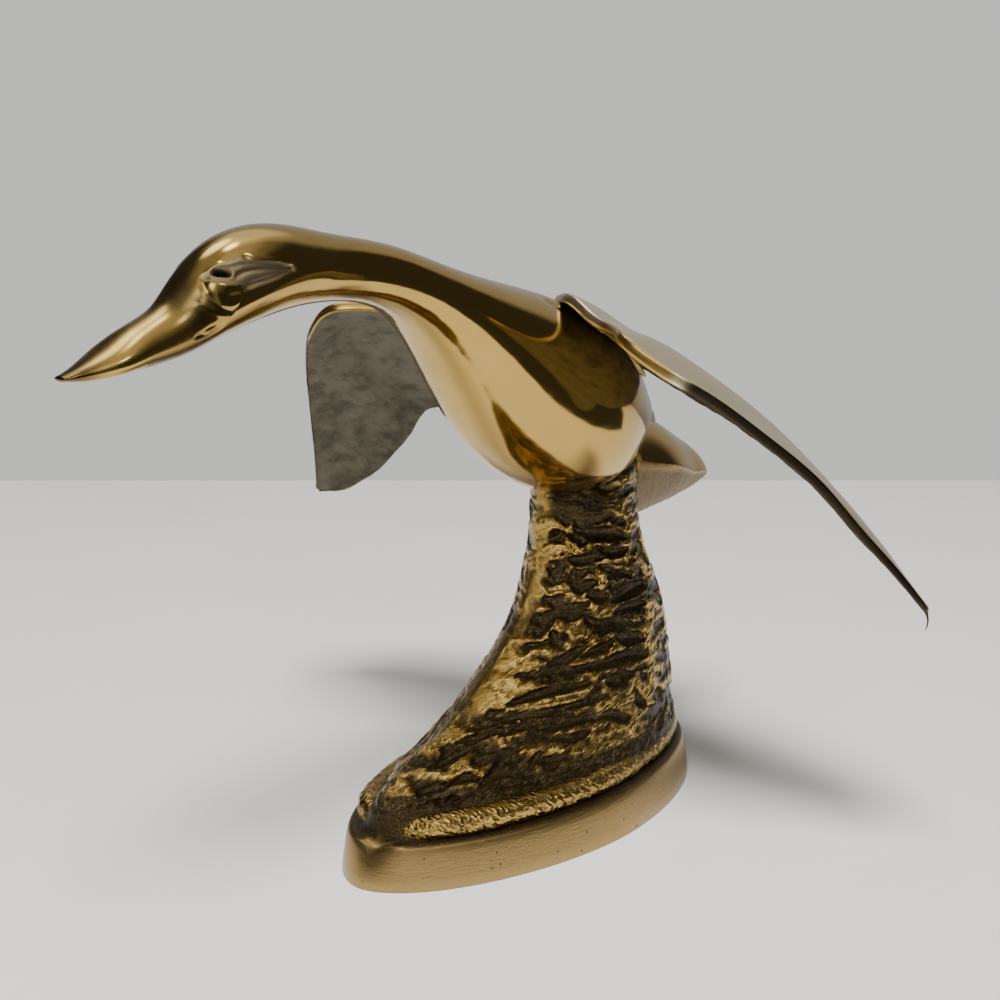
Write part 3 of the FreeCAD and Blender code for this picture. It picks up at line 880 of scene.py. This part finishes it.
STEEL_PALE, STEEL_DARK = (0.55, 0.55, 0.54, 1), (0.40, 0.39, 0.36, 1)


# %% What every finish needs
def new_finish(name):
    """Material with its bench and the place on the piece."""
    material = bpy.data.materials.new(name)
    material.use_nodes = True
    bench = Bench(material.node_tree)
    return material, bench, bench.add("ShaderNodeTexCoord", {}, {}, "Object")


def marks_of(b, *names):
    return [b.add("ShaderNodeAttribute", {"attribute_name": name}, {}, "Fac") for name in names]


def coats(b, ground, *layers):
    """Colours laid over a ground one after the other, each by its share."""
    for share, colour in layers:
        ground = b.add("ShaderNodeMix", {"data_type": "RGBA"}, {0: share, 6: ground, 7: colour}, 2)
    return ground


def wire_up(metal, colour, rough, height, bump_mm, metallic=None):
    """Joins the varying values to the shader; the height goes through a bump."""
    sockets = {"Strength": 1.0, "Distance": bump_mm * MM, "Height": height}
    bump = colour.bench.add("ShaderNodeBump", {}, sockets)
    shader = metal.node_tree.nodes["Principled BSDF"]
    shader.inputs["Metallic"].default_value = 1.0
    ends = {"Base Color": colour, "Roughness": rough, "Normal": bump, "Metallic": metallic}
    for socket, wire in ends.items():
        if wire is not None:
            metal.node_tree.links.new(wire.socket, shader.inputs[socket])
    return metal


# %% The polished duck
BILL_TIP = (-0.1035, -0.0975)
BILL_ROOT = (-0.082, -0.072)


def polished_metal():
    """Mirror polish with wiping marks; rough on the tail's sides, dull and dark at the eye, painted dark
    before the eye and along the bill's seam.
    """
    metal, b, place = new_finish("polished_brass_finish")
    dull, hole, matte, painted_dark = marks_of(b, "dull", "hole", "matte", "painted_dark")
    along = b.axis(place, "X")
    haze = b.noise(place, 14, 3)
    wipe = b.noise(b.stretched(place, (0.25, 1, 1)), 1.6, 4, 0.65, 3.1)
    scratch = b.noise(b.stretched(place, (0.3, 1, 1)), 0.7, 4, 0.7, 5.2)
    grain = b.noise(place, 0.55, 3, 0.7)
    colour = coats(
        b, BRASS_BRIGHT,
        (b.rise(haze, 0.35, 0.75) * 0.35, BRASS_WARM),
        ((dull * (0.35 + 0.6 * b.rise(scratch, 0.35, 0.65))).least(1), BRASS_DULL),
        # painted dark reflection before the eye and painted shade along the bill's seam
        ((painted_dark * (0.5 + 0.5 * b.rise(haze, 0.3, 0.6))).least(1), BRASS_PAINTED_DARK),
        ((matte * (0.65 + 0.35 * b.rise(grain, 0.3, 0.6))).least(1), BRASS_ROUGH),
        ((1 - b.rise(along, *BILL_TIP)) * 0.75, PATINA_AND_SHADE),
        (hole.least(1), PATINA_AND_SHADE),
    )
    rough = 0.10 + 0.10 * (1 - b.rise(along, *BILL_ROOT))
    rough = rough + 0.06 * b.rise(haze, 0.4, 0.8) + 0.05 * b.rise(wipe, 0.5, 0.8)
    rough = rough + 0.36 * dull + 0.10 * painted_dark + 0.36 * matte + 0.3 * hole
    return wire_up(metal, colour, rough, wipe * 0.10 + grain * matte * 3 + scratch * dull * 2, 0.05)


# %% The rock and its foot
COLLAR_BACK, COLLAR_LOW = (0.048, 0.066), (0.066, 0.078)


def rock_metal():
    """Satin gold on the high places, brown patina in the cuts, painted shade in the groove and the notch, a
    painted dark reflection on the collar, sparkle along the edges of the cuts.
    """
    metal, b, place = new_finish("rock_brass_finish")
    cut, inside, band, shade, carved = marks_of(b, "cut", "inside", "band", "shade", "carved")
    grain = b.noise(place, 0.45, 4, 0.7)
    patch = b.noise(place, 6.5, 3, 0.6, 1.9)
    brush = b.noise(b.stretched(place, (0.12, 0.12, 1)), 0.5, 3, 0.6)
    pits = b.rise(b.noise(place, 1.1, 2, 0.5, 4.7), 0.70, 0.76) * band
    deep = cut.most(shade) + (patch - 0.5) * 0.45 + (grain - 0.5) * 0.6
    dark = b.rise(deep, 0.04, 0.42) * (1 - band) * (0.98 - 0.22 * b.rise(grain, 0.50, 0.62))
    root = b.rise(b.axis(place, "X"), *COLLAR_BACK) * b.rise(b.axis(place, "Z"), *COLLAR_LOW)
    worn = (1 - carved) * (1 - band)
    colour = coats(
        b, BRASS_BRIGHT,
        ((b.rise(patch, 0.40, 0.65) * 0.5 + worn * 0.6).least(1), BRASS_WARM),
        (band, BRASS_BAND),
        # patina in the cuts, and the painted shade and dark reflection of the shade mark
        (dark * 0.985, PATINA_AND_SHADE),
        (root, BRASS_COLLAR),
        (inside, SAND_SKIN),
        (pits, PATINA_AND_SHADE),
    )
    rough = 0.20 + 0.12 * dark + 0.12 * worn + 0.10 * b.rise(grain, 0.4, 0.7)
    rough = rough + 0.25 * root + 0.2 * inside + 0.12 * band
    height = grain * (0.55 + cut + root + 0.8 * worn) + brush * band * 0.7 - pits * 2 - cut * 14
    return wire_up(metal, colour, rough, height, 0.11, 1 - 0.15 * dark)


# %% The wings
def wing_metal():
    """Polished above; below, the brown grey skin that the sand left; a painted gold reflection and painted
    shade along the nose.
    """
    metal, b, place = new_finish("wing_brass_finish")
    cast, rim = marks_of(b, "cast", "rim")
    haze = b.noise(place, 10, 3, 0.6)
    grain = b.noise(place, 0.7, 4, 0.7)
    brush = b.noise(b.stretched(place, (1, 0.15, 0.3)), 0.5, 3, 0.6)
    stain = b.rise(b.noise(place, 5.0, 4, 0.6, 2.3), 0.38, 0.72)
    colour = coats(
        b, WING_PALE,
        (b.rise(haze, 0.4, 0.8) * 0.4, WING_GOLD),
        (cast, coats(b, SAND_SKIN, (stain, SAND_STAIN))),
        # the nose's painted gold reflection and painted shade
        (b.rise(rim * -1, 0, 1), BRASS_BRIGHT),
        (b.rise(rim, 0, 1), WING_NOSE_SHADE_PAINT),
    )
    rough = 0.30 + 0.08 * b.rise(haze, 0.4, 0.8) + 0.28 * cast
    return wire_up(metal, colour, rough, brush * 0.15 + grain * cast * 2.0, 0.06, 1 - 0.35 * cast)


# %% The brazing metal and the steel
def braze_metal():
    """Lumpy yellow metal, brown from the flame."""
    metal, b, place = new_finish("braze_finish")
    grain = b.noise(place, 0.6, 4, 0.7)
    burnt = b.rise(b.noise(place, 2.4, 3, 0.6), 0.4, 0.7)
    return wire_up(metal, coats(b, BRASS_WARM, (burnt, BRASS_BURNT)), 0.30 + 0.25 * burnt, grain, 0.1)


def steel_metal():
    """Plated steel of the stud, the washer and the nut."""
    metal, b, place = new_finish("hardware_steel_finish")
    grain = b.noise(place, 0.8, 3, 0.6)
    colour = coats(b, STEEL_PALE, (b.rise(grain, 0.4, 0.7), STEEL_DARK))
    return wire_up(metal, colour, 0.26 + 0.16 * grain, grain, 0.03)


finish = {
    "polished_brass": polished_metal(),
    "rock_brass": rock_metal(),
    "wing_brass": wing_metal(),
    "braze": braze_metal(),
    "hardware_steel": steel_metal(),
}
print("finishes:", ", ".join(finish))

# %% Cast skin below the wings and on the tail's sides, slow waves on the body
# piece, mark, depth and lump in millimetres, seed, slot
CAST_SKINS = (
    (wings["left"], "cast", 0.55, 4.5, 0.31, "wing_brass"),
    (wings["right"], "cast", 0.55, 4.5, 0.77, "wing_brass"),
    (tail, "matte", 0.35, 2.4, 0.12, "polished_brass"),
    (duck, "hand", 0.14, 15.0, 0.12, "polished_brass"),
)
for piece, mark, depth, lump, seed, slot in CAST_SKINS:
    values = {"Mark": mark, "Depth": depth * MM, "Lump": lump, "Seed": seed, "Finish": finish[slot]}
    run_tree(piece, cast_grain, values)

# %% [markdown]
# ## Chisel marks
# The wax or plaster model of the rock was cut with a gouge before it was cast. Each cut
# on the near side is drawn as a stroke: where it starts and ends round the rock, in
# degrees from the back, and how high. The far side was cut by the same hand, so its
# strokes are the near ones mirrored and jogged a little. The tree measures how far each
# point of the rock is from the nearest stroke and sinks it, deepest in the middle.
# Between the strokes, a folded noise leaves the small level chips of a flat chisel.

# %% Where the gouge went
# start angle, start height, end angle, end height, half width, depth
STROKES = (
    (224, 72, 269, 68, 1.9, 1.5), (217, 65, 244, 64, 1.5, 1.3), (223, 58, 239, 58, 1.5, 1.2),
    (241, 66, 267, 65, 1.3, 1.2), (250, 54, 285, 55, 1.9, 1.6), (234, 55, 249, 55, 1.3, 1.2),
    (252, 50, 278, 51, 1.4, 1.3), (234, 50, 243, 49, 1.2, 1.1), (255, 45, 275, 41, 1.8, 1.5),
    (223, 41, 239, 43, 1.4, 1.2), (240, 41, 254, 44, 1.3, 1.2), (244, 39, 280, 38, 1.7, 1.5),
    (225, 39, 265, 38, 1.1, 1.0), (256, 35, 267, 33, 1.3, 1.2), (273, 30, 283, 25, 1.6, 1.4),
    (288, 27, 302, 24, 1.6, 1.4), (213, 34, 249, 36, 1.2, 1.1), (210, 32, 258, 31, 1.0, 0.9),
    (200, 30, 237, 31, 1.3, 1.1), (258, 27, 272, 25, 1.6, 1.4), (293, 19, 302, 20, 1.4, 1.2),
    (230, 29, 255, 27, 1.2, 1.0), (195, 31, 215, 31, 1.2, 1.0), (200, 28, 238, 29, 1.2, 1.0),
    (192, 23, 210, 26, 1.3, 1.1), (213, 21, 223, 21, 1.2, 1.0), (224, 20, 230, 25, 1.1, 1.0),
    (238, 19, 239, 24, 1.1, 1.0), (240, 21, 250, 22, 1.2, 1.0), (199, 20, 213, 20, 1.2, 1.0),
    (215, 28, 223, 30, 1.1, 1.0), (240, 25, 255, 25, 1.2, 1.1), (283, 66, 300, 60, 1.6, 1.4),
    (290, 52, 312, 48, 1.6, 1.4), (286, 44, 306, 42, 1.4, 1.3), (288, 36, 310, 33, 1.5, 1.3),
    (308, 62, 330, 58, 1.6, 1.3), (318, 40, 340, 36, 1.5, 1.3), (310, 25, 332, 22, 1.4, 1.2),
    (320, 52, 344, 53, 1.4, 1.2), (325, 30, 352, 29, 1.3, 1.1), (335, 67, 358, 64, 1.5, 1.2),
    (305, 71, 322, 69, 1.5, 1.2), (340, 45, 362, 42, 1.4, 1.2), (345, 21, 366, 19, 1.3, 1.1),
)
STROKE_POINTS, STROKE_SEED = 26, 11
WIDTH_SHARE, DEPTH_SHARE = 1.25, 0.6
FAR_JOG = np.array((5, 1.6, 5, 1.6))
SWAY = 0.5


def stroke_lines():
    """Edge mesh of all strokes on the rock's skin, with width and depth on its points."""
    dice = np.random.default_rng(STROKE_SEED)
    wave = np.linspace(0, 5, STROKE_POINTS)
    swell = np.sin(math.pi * np.linspace(0.04, 0.96, STROKE_POINTS)) ** 0.6 * MM
    points, edges, widths, depths = [], [], [], []
    for far in (False, True):
        for a0, z0, a1, z1, wide, deep in STROKES:
            jog = dice.uniform(-1, 1, 4) * FAR_JOG * far
            turns = np.radians(np.linspace(a0 + jog[0], a1 + jog[2], STROKE_POINTS))
            heights = np.linspace(z0 + jog[1], z1 + jog[3], STROKE_POINTS) + SWAY * np.sin(wave + a0)
            x, y = rock_outline(rock_rows(heights).T, turns)
            edges += [(len(points) + i, len(points) + i + 1) for i in range(STROKE_POINTS - 1)]
            points += list(np.stack([x, -y if far else y, heights], 1))
            widths += list(WIDTH_SHARE * wide * swell)
            depths += list(DEPTH_SHARE * deep * swell)
    return add_piece("gouge_strokes", points, edges=edges, marks={"wide": widths, "deep": depths})


# %% The chisel as a tree
WOBBLES, WARPS, FOLDS, SWELLS = 420.0, 160.0, 175.0, 85.0      # lumps of each noise to the metre
CHIP_DEPTH, SWELL_HEIGHT = 0.5 * MM, 0.5 * MM


def chisel_tree():
    tree, b, given = new_tree("chisel", Strokes="Object", Chips="Float", Swells="Float", Finish="Material")
    place = b.add("GeometryNodeInputPosition")
    share = stored(b, "carved")
    strokes = b.add("GeometryNodeObjectInfo", {}, {"Object": given["Strokes"]}, "Geometry")
    near = b.add("GeometryNodeProximity", {"target_element": "EDGES"}, {0: strokes}, "Distance")
    index = b.add("GeometryNodeSampleNearest", {"domain": "POINT"}, {0: strokes})
    wide, deep = (
        b.add("GeometryNodeSampleIndex", {"data_type": "FLOAT", "domain": "POINT"},
              {0: strokes, "Value": stored(b, name), "Index": index})
        for name in ("wide", "deep")
    )
    wobble = b.lumps(place, WOBBLES, 3.0)
    reach = near / (wide * (0.75 + 0.5 * wobble)).most(0.0002)
    gouge = (1 - reach.least(1) * reach.least(1)) ** 0.7
    warp = b.scaled(b.lumps(place, WARPS, 2.0, out=1), 0.006)
    bent = b.moved(b.stretched(place, (0.25, 0.25, 1.0)), warp)
    chips = b.rise((b.lumps(bent, FOLDS, 3.0) * 2 - 1).math("ABSOLUTE"), 0.0, 0.34)
    swells = b.lumps(place, SWELLS, 3.0) - 0.5
    height = swells * given["Swells"] - chips * given["Chips"] - gouge * deep
    pushed = push_out(b, given["Geometry"], height * share)
    marked = store(b, pushed, "cut", (gouge.most(chips * 0.9) - swells * 0.8) * share)
    return close_tree(tree, b, marked, given["Finish"])


strokes = stroke_lines()
values = {"Strokes": strokes, "Chips": CHIP_DEPTH, "Swells": SWELL_HEIGHT, "Finish": finish["rock_brass"]}
run_tree(rock, chisel_tree(), values)
bpy.data.objects.remove(strokes)

# %% [markdown]
# ## Bead round the foot
# Between the groove of the foot and the rock runs a rounded bead. It was textured with
# a punch, so it glitters. A curve follows the foot's oval, a circle is swept along it,
# and noise roughens it. At the prow the bead thins and dips under the rock's corner.

# %% The bead
BEAD_INSET, BEAD_HEIGHT, BEAD_RADIUS, PUNCH_DEPTH = 7.0, 13.1, 3.2 * MM, 0.45 * MM
BEAD_THIN, BEAD_THIN_SHARE = (-0.024, -0.010), 0.2
PROW_AT, PROW_LONG, PROW_DIP = -26, 6.0, (3.4, 0, -2.0)


def bead_tree():
    tree, b, given = new_tree("bead", Radius="Float", Grain="Float", Finish="Material")
    place = b.add("GeometryNodeInputPosition")
    line = b.add("GeometryNodeMeshToCurve", {}, {0: given["Geometry"]})
    size = BEAD_THIN_SHARE + (1 - BEAD_THIN_SHARE) * b.rise(b.axis(place, "X"), *BEAD_THIN)
    line = b.add("GeometryNodeSetCurveRadius", {}, {0: line, "Radius": size})
    circle = b.add("GeometryNodeCurvePrimitiveCircle", {}, {"Resolution": 28, "Radius": given["Radius"]})
    tube = b.add("GeometryNodeCurveToMesh", {}, {0: line, 1: circle})
    punch = b.add("ShaderNodeTexVoronoi", {"feature": "F1"}, {"Vector": place, "Scale": 900.0})
    slow = b.lumps(place, 240.0, 3.0)
    height = ((slow - 0.5) * 2.4 + punch * 0.9 - 0.6) * given["Grain"]
    marked = store(b, push_out(b, tube, height), "cut", punch * 0.5 - 0.14)
    marked = store(b, marked, "carved", 1.0)
    return close_tree(tree, b, marked, given["Finish"])


oval = foot_ring(BEAD_INSET, BEAD_HEIGHT)
dip = np.exp(-(((oval[:, 0] - PROW_AT) / PROW_LONG) ** 2))
joined = [(i, (i + 1) % RING) for i in range(RING)]
bead = add_piece("foot_bead", oval + dip[:, None] * PROW_DIP, edges=joined)
run_tree(bead, bead_tree(), {"Radius": BEAD_RADIUS, "Grain": PUNCH_DEPTH, "Finish": finish["rock_brass"]})

# %% [markdown]
# ## Brazing and the stud
# The wings were fixed with melted brass from below, which leaves an uneven run along
# the seam. Under the foot, a stud holds the duck on its rock with a washer and a nut;
# the solids of washer and nut are right as they are, and the stud gets its thread.

# %% Runs of brazing metal
BRAZE_RINGS, BRAZE_ROUND, BRAZE_HALF = 60, 24, 1.25
BRAZE_WAVES = ((0.18, 17), (0.10, 39))          # how high, and how many to the run in radians
# from the front top corner, the middle and the back low corner of the solid run
BRAZE_FRONT, BRAZE_MIDDLE, BRAZE_BACK = (1.5, -4.2, -2.4), (-1.5, 0.6, 1.6), (-1.5, 1.8, 2.6)


def braze_rings(node, seed):
    """Uneven tube between the ends of the solid run of brazing metal."""
    low, top = np.array(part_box(node)) / MM
    side = 1 if (low[1] + top[1]) > 0 else -1
    near, far = sorted((abs(low[1]), abs(top[1])))
    front, back = np.array([low[0], far, top[2]]), np.array([top[0], near, low[2]])
    knots = [front + BRAZE_FRONT, (front + back) / 2 + BRAZE_MIDDLE, back + BRAZE_BACK]
    t = np.linspace(0, 1, BRAZE_RINGS)
    path = through([0, 0.5, 1], knots, t) * (1, side, 1)
    out = np.cross(np.gradient(path, axis=0), (0, 0, 1.0))
    out /= np.linalg.norm(out, axis=1)[:, None]
    up = np.cross(out, np.gradient(path, axis=0))
    up /= np.linalg.norm(up, axis=1)[:, None]
    half = BRAZE_HALF * np.sin(math.pi * np.clip(t, 0.02, 0.98)) ** 0.35
    starts = np.random.default_rng(seed).uniform(0, 6.28, len(BRAZE_WAVES))
    half += sum(high * np.sin(often * t + start) for (high, often), start in zip(BRAZE_WAVES, starts))
    turn = all_round(BRAZE_ROUND)[None, :, None]
    circles = np.cos(turn) * out[:, None] + np.sin(turn) * up[:, None]
    return path[:, None] + half[:, None, None] * circles


# %% The threaded stud
STUD_HALF, THREAD_DEPTH, THREAD_PITCH, STUD_ROUND = 3.0, 0.45, 1.0, 40
CHAMFER_HIGH, CHAMFER_SHARE = 0.6, 0.4


def stud_rings():
    """Rings of a stud whose radius follows its thread, with a chamfered lower end."""
    low, high = np.array(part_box("mounting_stud")) / MM
    x, y = (low[:2] + high[:2]) / 2
    turn = all_round(STUD_ROUND)
    stack = []
    for z in np.arange(low[2], high[2], THREAD_PITCH / 8):
        wave = np.abs(((z / THREAD_PITCH - turn / (2 * math.pi)) % 1) * 2 - 1)
        r = (STUD_HALF - THREAD_DEPTH * wave) * min(1, (z - low[2]) / CHAMFER_HIGH + CHAMFER_SHARE)
        stack.append(np.stack([x + r * np.cos(turn), y + r * np.sin(turn), np.full(STUD_ROUND, z)], 1))
    return np.array(stack)


brazes = {
    side: skin(f"{side}_braze_run", braze_rings(f"{side}_wing_braze", seed))
    for side, seed in (("left", 3), ("right", 8))
}
stud = skin("threaded_stud", stud_rings())
for piece, slot in ((brazes["left"], "braze"), (brazes["right"], "braze"), (stud, "hardware_steel")):
    piece.data.materials.append(finish[slot])
for name in ("stud_washer", "stud_nut"):
    for slot in frame["nodes"][name].material_slots:
        slot.material = finish["hardware_steel"]

# %% [markdown]
# ## The pieces on the root
# Nothing moves, so every piece rides on the root, and the solid that each piece stands
# for is hidden. The tail and the bead stand for no solid of their own: in the
# imported model they are parts of the body and of the rock.

# %% Attach the pieces and hide their solids
for piece, nodes, slot in (
    (duck, ["duck_body"], "polished_brass"),
    (tail, [], "polished_brass"),
    (wings["left"], ["left_wing"], "wing_brass"),
    (wings["right"], ["right_wing"], "wing_brass"),
    (brazes["left"], ["left_wing_braze"], "braze"),
    (brazes["right"], ["right_wing_braze"], "braze"),
    (rock, ["rock_base"], "rock_brass"),
    (bead, [], "rock_brass"),
    (stud, ["mounting_stud"], "hardware_steel"),
):
    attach(piece, "root")
    if nodes:
        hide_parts(*nodes)

# %% [markdown]
# ## The table and the room
# Polished brass shows the room more than itself, so its look is made by what it mirrors:
# a dim room with a pale wall behind the duck, a window, a strip of light to the side and
# a few lit lamps. Where the metal mirrors none of these it is dark, which gives the
# brown bands along the neck and the breast. The world is worked out from the direction
# alone. The soft lamp above lights the piece and gives the shadow. It isn't mirrored,
# because a large lamp would leave a white patch on every curve.

# %% The table
# its outline in millimetres: ahead of the duck as the camera looks, and to the left
TABLE = (
    (411, 1200), (411, -900), (120, -240), (-100, -130), (-340, -60), (-450, 0), (-450, 350), (0, 1200),
)
AHEAD, LEFT = np.array((0.7674, 0.6412, 0)), np.array((-0.6412, 0.7674, 0))
TABLE_DIM, TABLE_PALE, TABLE_ROUGH = (0.74, 0.73, 0.715, 1), (0.82, 0.815, 0.80, 1), 0.85


def table_top():
    """Pale table with its far edge square to the view."""
    corners = [AHEAD * ahead + LEFT * left for ahead, left in TABLE]
    table = add_piece("table", corners, [tuple(range(len(corners)))[::-1]])
    paint, b, place = new_finish("table_paint")
    shade = coats(b, TABLE_DIM, (b.noise(place, 60, 4), TABLE_PALE))
    shader = paint.node_tree.nodes["Principled BSDF"]
    paint.node_tree.links.new(shade.socket, shader.inputs["Base Color"])
    shader.inputs["Roughness"].default_value = TABLE_ROUGH
    table.data.materials.append(paint)


table_top()

# %% The room that the brass mirrors
# how high in the view the pale ceiling starts and is full (1 is overhead), and its light
PALE_CEILING, CEILING_LIGHT = (0.80, 0.95), 0.30
# direction, half angle where it is full and where it has faded, foot and top like the ceiling, light
PANES = (
    (-75, 75, 105, (0.60, 0.80), (1.1, 1.2), 0.17),
    (-95, 35, 50, (0.33, 0.50), (1.1, 1.2), 0.10),
    (26, 26, 44, (-0.3, -0.1), (1.1, 1.2), 0.32),
    (42, 24, 42, (0.58, 0.72), (0.93, 0.985), 0.55),
    (-124, 9, 18, (-0.75, -0.6), (0.6, 0.75), 0.27),
)
# direction, height, half angle where it is full and where it has faded, light
GLINTS = (
    (76, 60, 5, 12, 3.2),
    (45, 78, 3, 7, 6),
    (-94, 51, 4, 8, 6),
    (-143, 47, 7, 18, 4),
    (-151, -2, 4, 9, 0.6),
)
ROOM_DARK, ROOM_POWER, ROOM_WHITE = 0.045, 1.2, (1, 0.985, 0.96, 1)
ROOM_ON_DULL, ROOM_SEEN = (0.14, 0.139, 0.136, 1), (0.70, 0.695, 0.68, 1)


def toward(azimuth, height=0):
    """Unit vector of a direction given in degrees."""
    a, h = math.radians(azimuth), math.radians(height)
    return math.cos(a) * math.cos(h), math.sin(a) * math.cos(h), math.sin(h)


def lit(b, cosine, inner, outer):
    """1 within the inner angle of a direction and 0 beyond the outer one."""
    return b.rise(cosine, math.cos(math.radians(outer)), math.cos(math.radians(inner)))


def room():
    """World by direction: what the brass mirrors is a dim room with a few lit places."""
    world = bpy.data.worlds.new("room")
    world.use_nodes = True
    bpy.context.scene.world = world
    b = Bench(world.node_tree)
    way = b.add("ShaderNodeTexCoord", {}, {}, "Generated")
    x, y, z = (b.axis(way, name) for name in "XYZ")
    level = (x * x + y * y + 0.0001) ** 0.5

    light = b.rise(z, *PALE_CEILING) * CEILING_LIGHT + ROOM_DARK
    for azimuth, inner, outer, foot, top, power in PANES:
        tx, ty, _ = toward(azimuth)
        pane = lit(b, (x * tx + y * ty) / level, inner, outer)
        light = light + pane * b.rise(z, *foot) * (1 - b.rise(z, *top)) * power
    for azimuth, height, inner, outer, power in GLINTS:
        tx, ty, tz = toward(azimuth, height)
        light = light + lit(b, x * tx + y * ty + z * tz, inner, outer) * power
    mirrored = b.add("ShaderNodeMix", {"data_type": "RGBA", "clamp_factor": False},
                     {0: light * ROOM_POWER, 6: (0, 0, 0, 1), 7: ROOM_WHITE}, 2)
    rays = [b.add("ShaderNodeLightPath", {}, {}, name) for name in ("Is Glossy Ray", "Is Camera Ray")]
    shown = coats(b, ROOM_ON_DULL, (rays[0], mirrored), (rays[1], ROOM_SEEN))
    back = world.node_tree.nodes["Background"]
    world.node_tree.links.new(shown.socket, back.inputs["Color"])
    back.inputs["Strength"].default_value = 1.0


room()

# %% The lamp
LAMP_AT, LAMP_AWAY, LAMP_WIDE, LAMP_POWER = (-142, 60), 1.5, 0.50, 50
LAMP_AIM = Vector((0, 0, 0.08))


def lamp():
    """Square soft lamp that looks at the duck and isn't mirrored in it."""
    data = bpy.data.lights.new("ceiling_lamp", "AREA")
    data.size, data.energy = LAMP_WIDE, LAMP_POWER
    data.color = (1.0, 0.97, 0.93)
    source = bpy.data.objects.new("ceiling_lamp", data)
    source.visible_glossy = False
    way = Vector(toward(*LAMP_AT))
    source.location = LAMP_AIM + way * LAMP_AWAY
    source.rotation_euler = (-way).to_track_quat("-Z", "Y").to_euler()
    bpy.context.scene.collection.objects.link(source)


lamp()
print("room, table and lamp are set")

# %% [markdown]
# ## The camera
# It stands about 40 centimetres away, in front of the duck and on its left, a little
# above the head. It looks down on the duck through a slightly long lens, as one takes
# a small thing on a table.

# %% Camera
CAMERA_AT, CAMERA_LOOK = (-0.30198, -0.26725, 0.177), Vector((0.748, 0.625, -0.223))
SENSOR_MM, LENS_MM = 36, 64.8

camera = bpy.data.objects.new("camera", bpy.data.cameras.new("camera"))
bpy.context.scene.collection.objects.link(camera)
camera.location = CAMERA_AT
camera.rotation_euler = CAMERA_LOOK.to_track_quat("-Z", "Y").to_euler()
camera.data.sensor_width = SENSOR_MM
camera.data.lens = LENS_MM
camera.data.clip_start = 0.01
bpy.context.scene.camera = camera
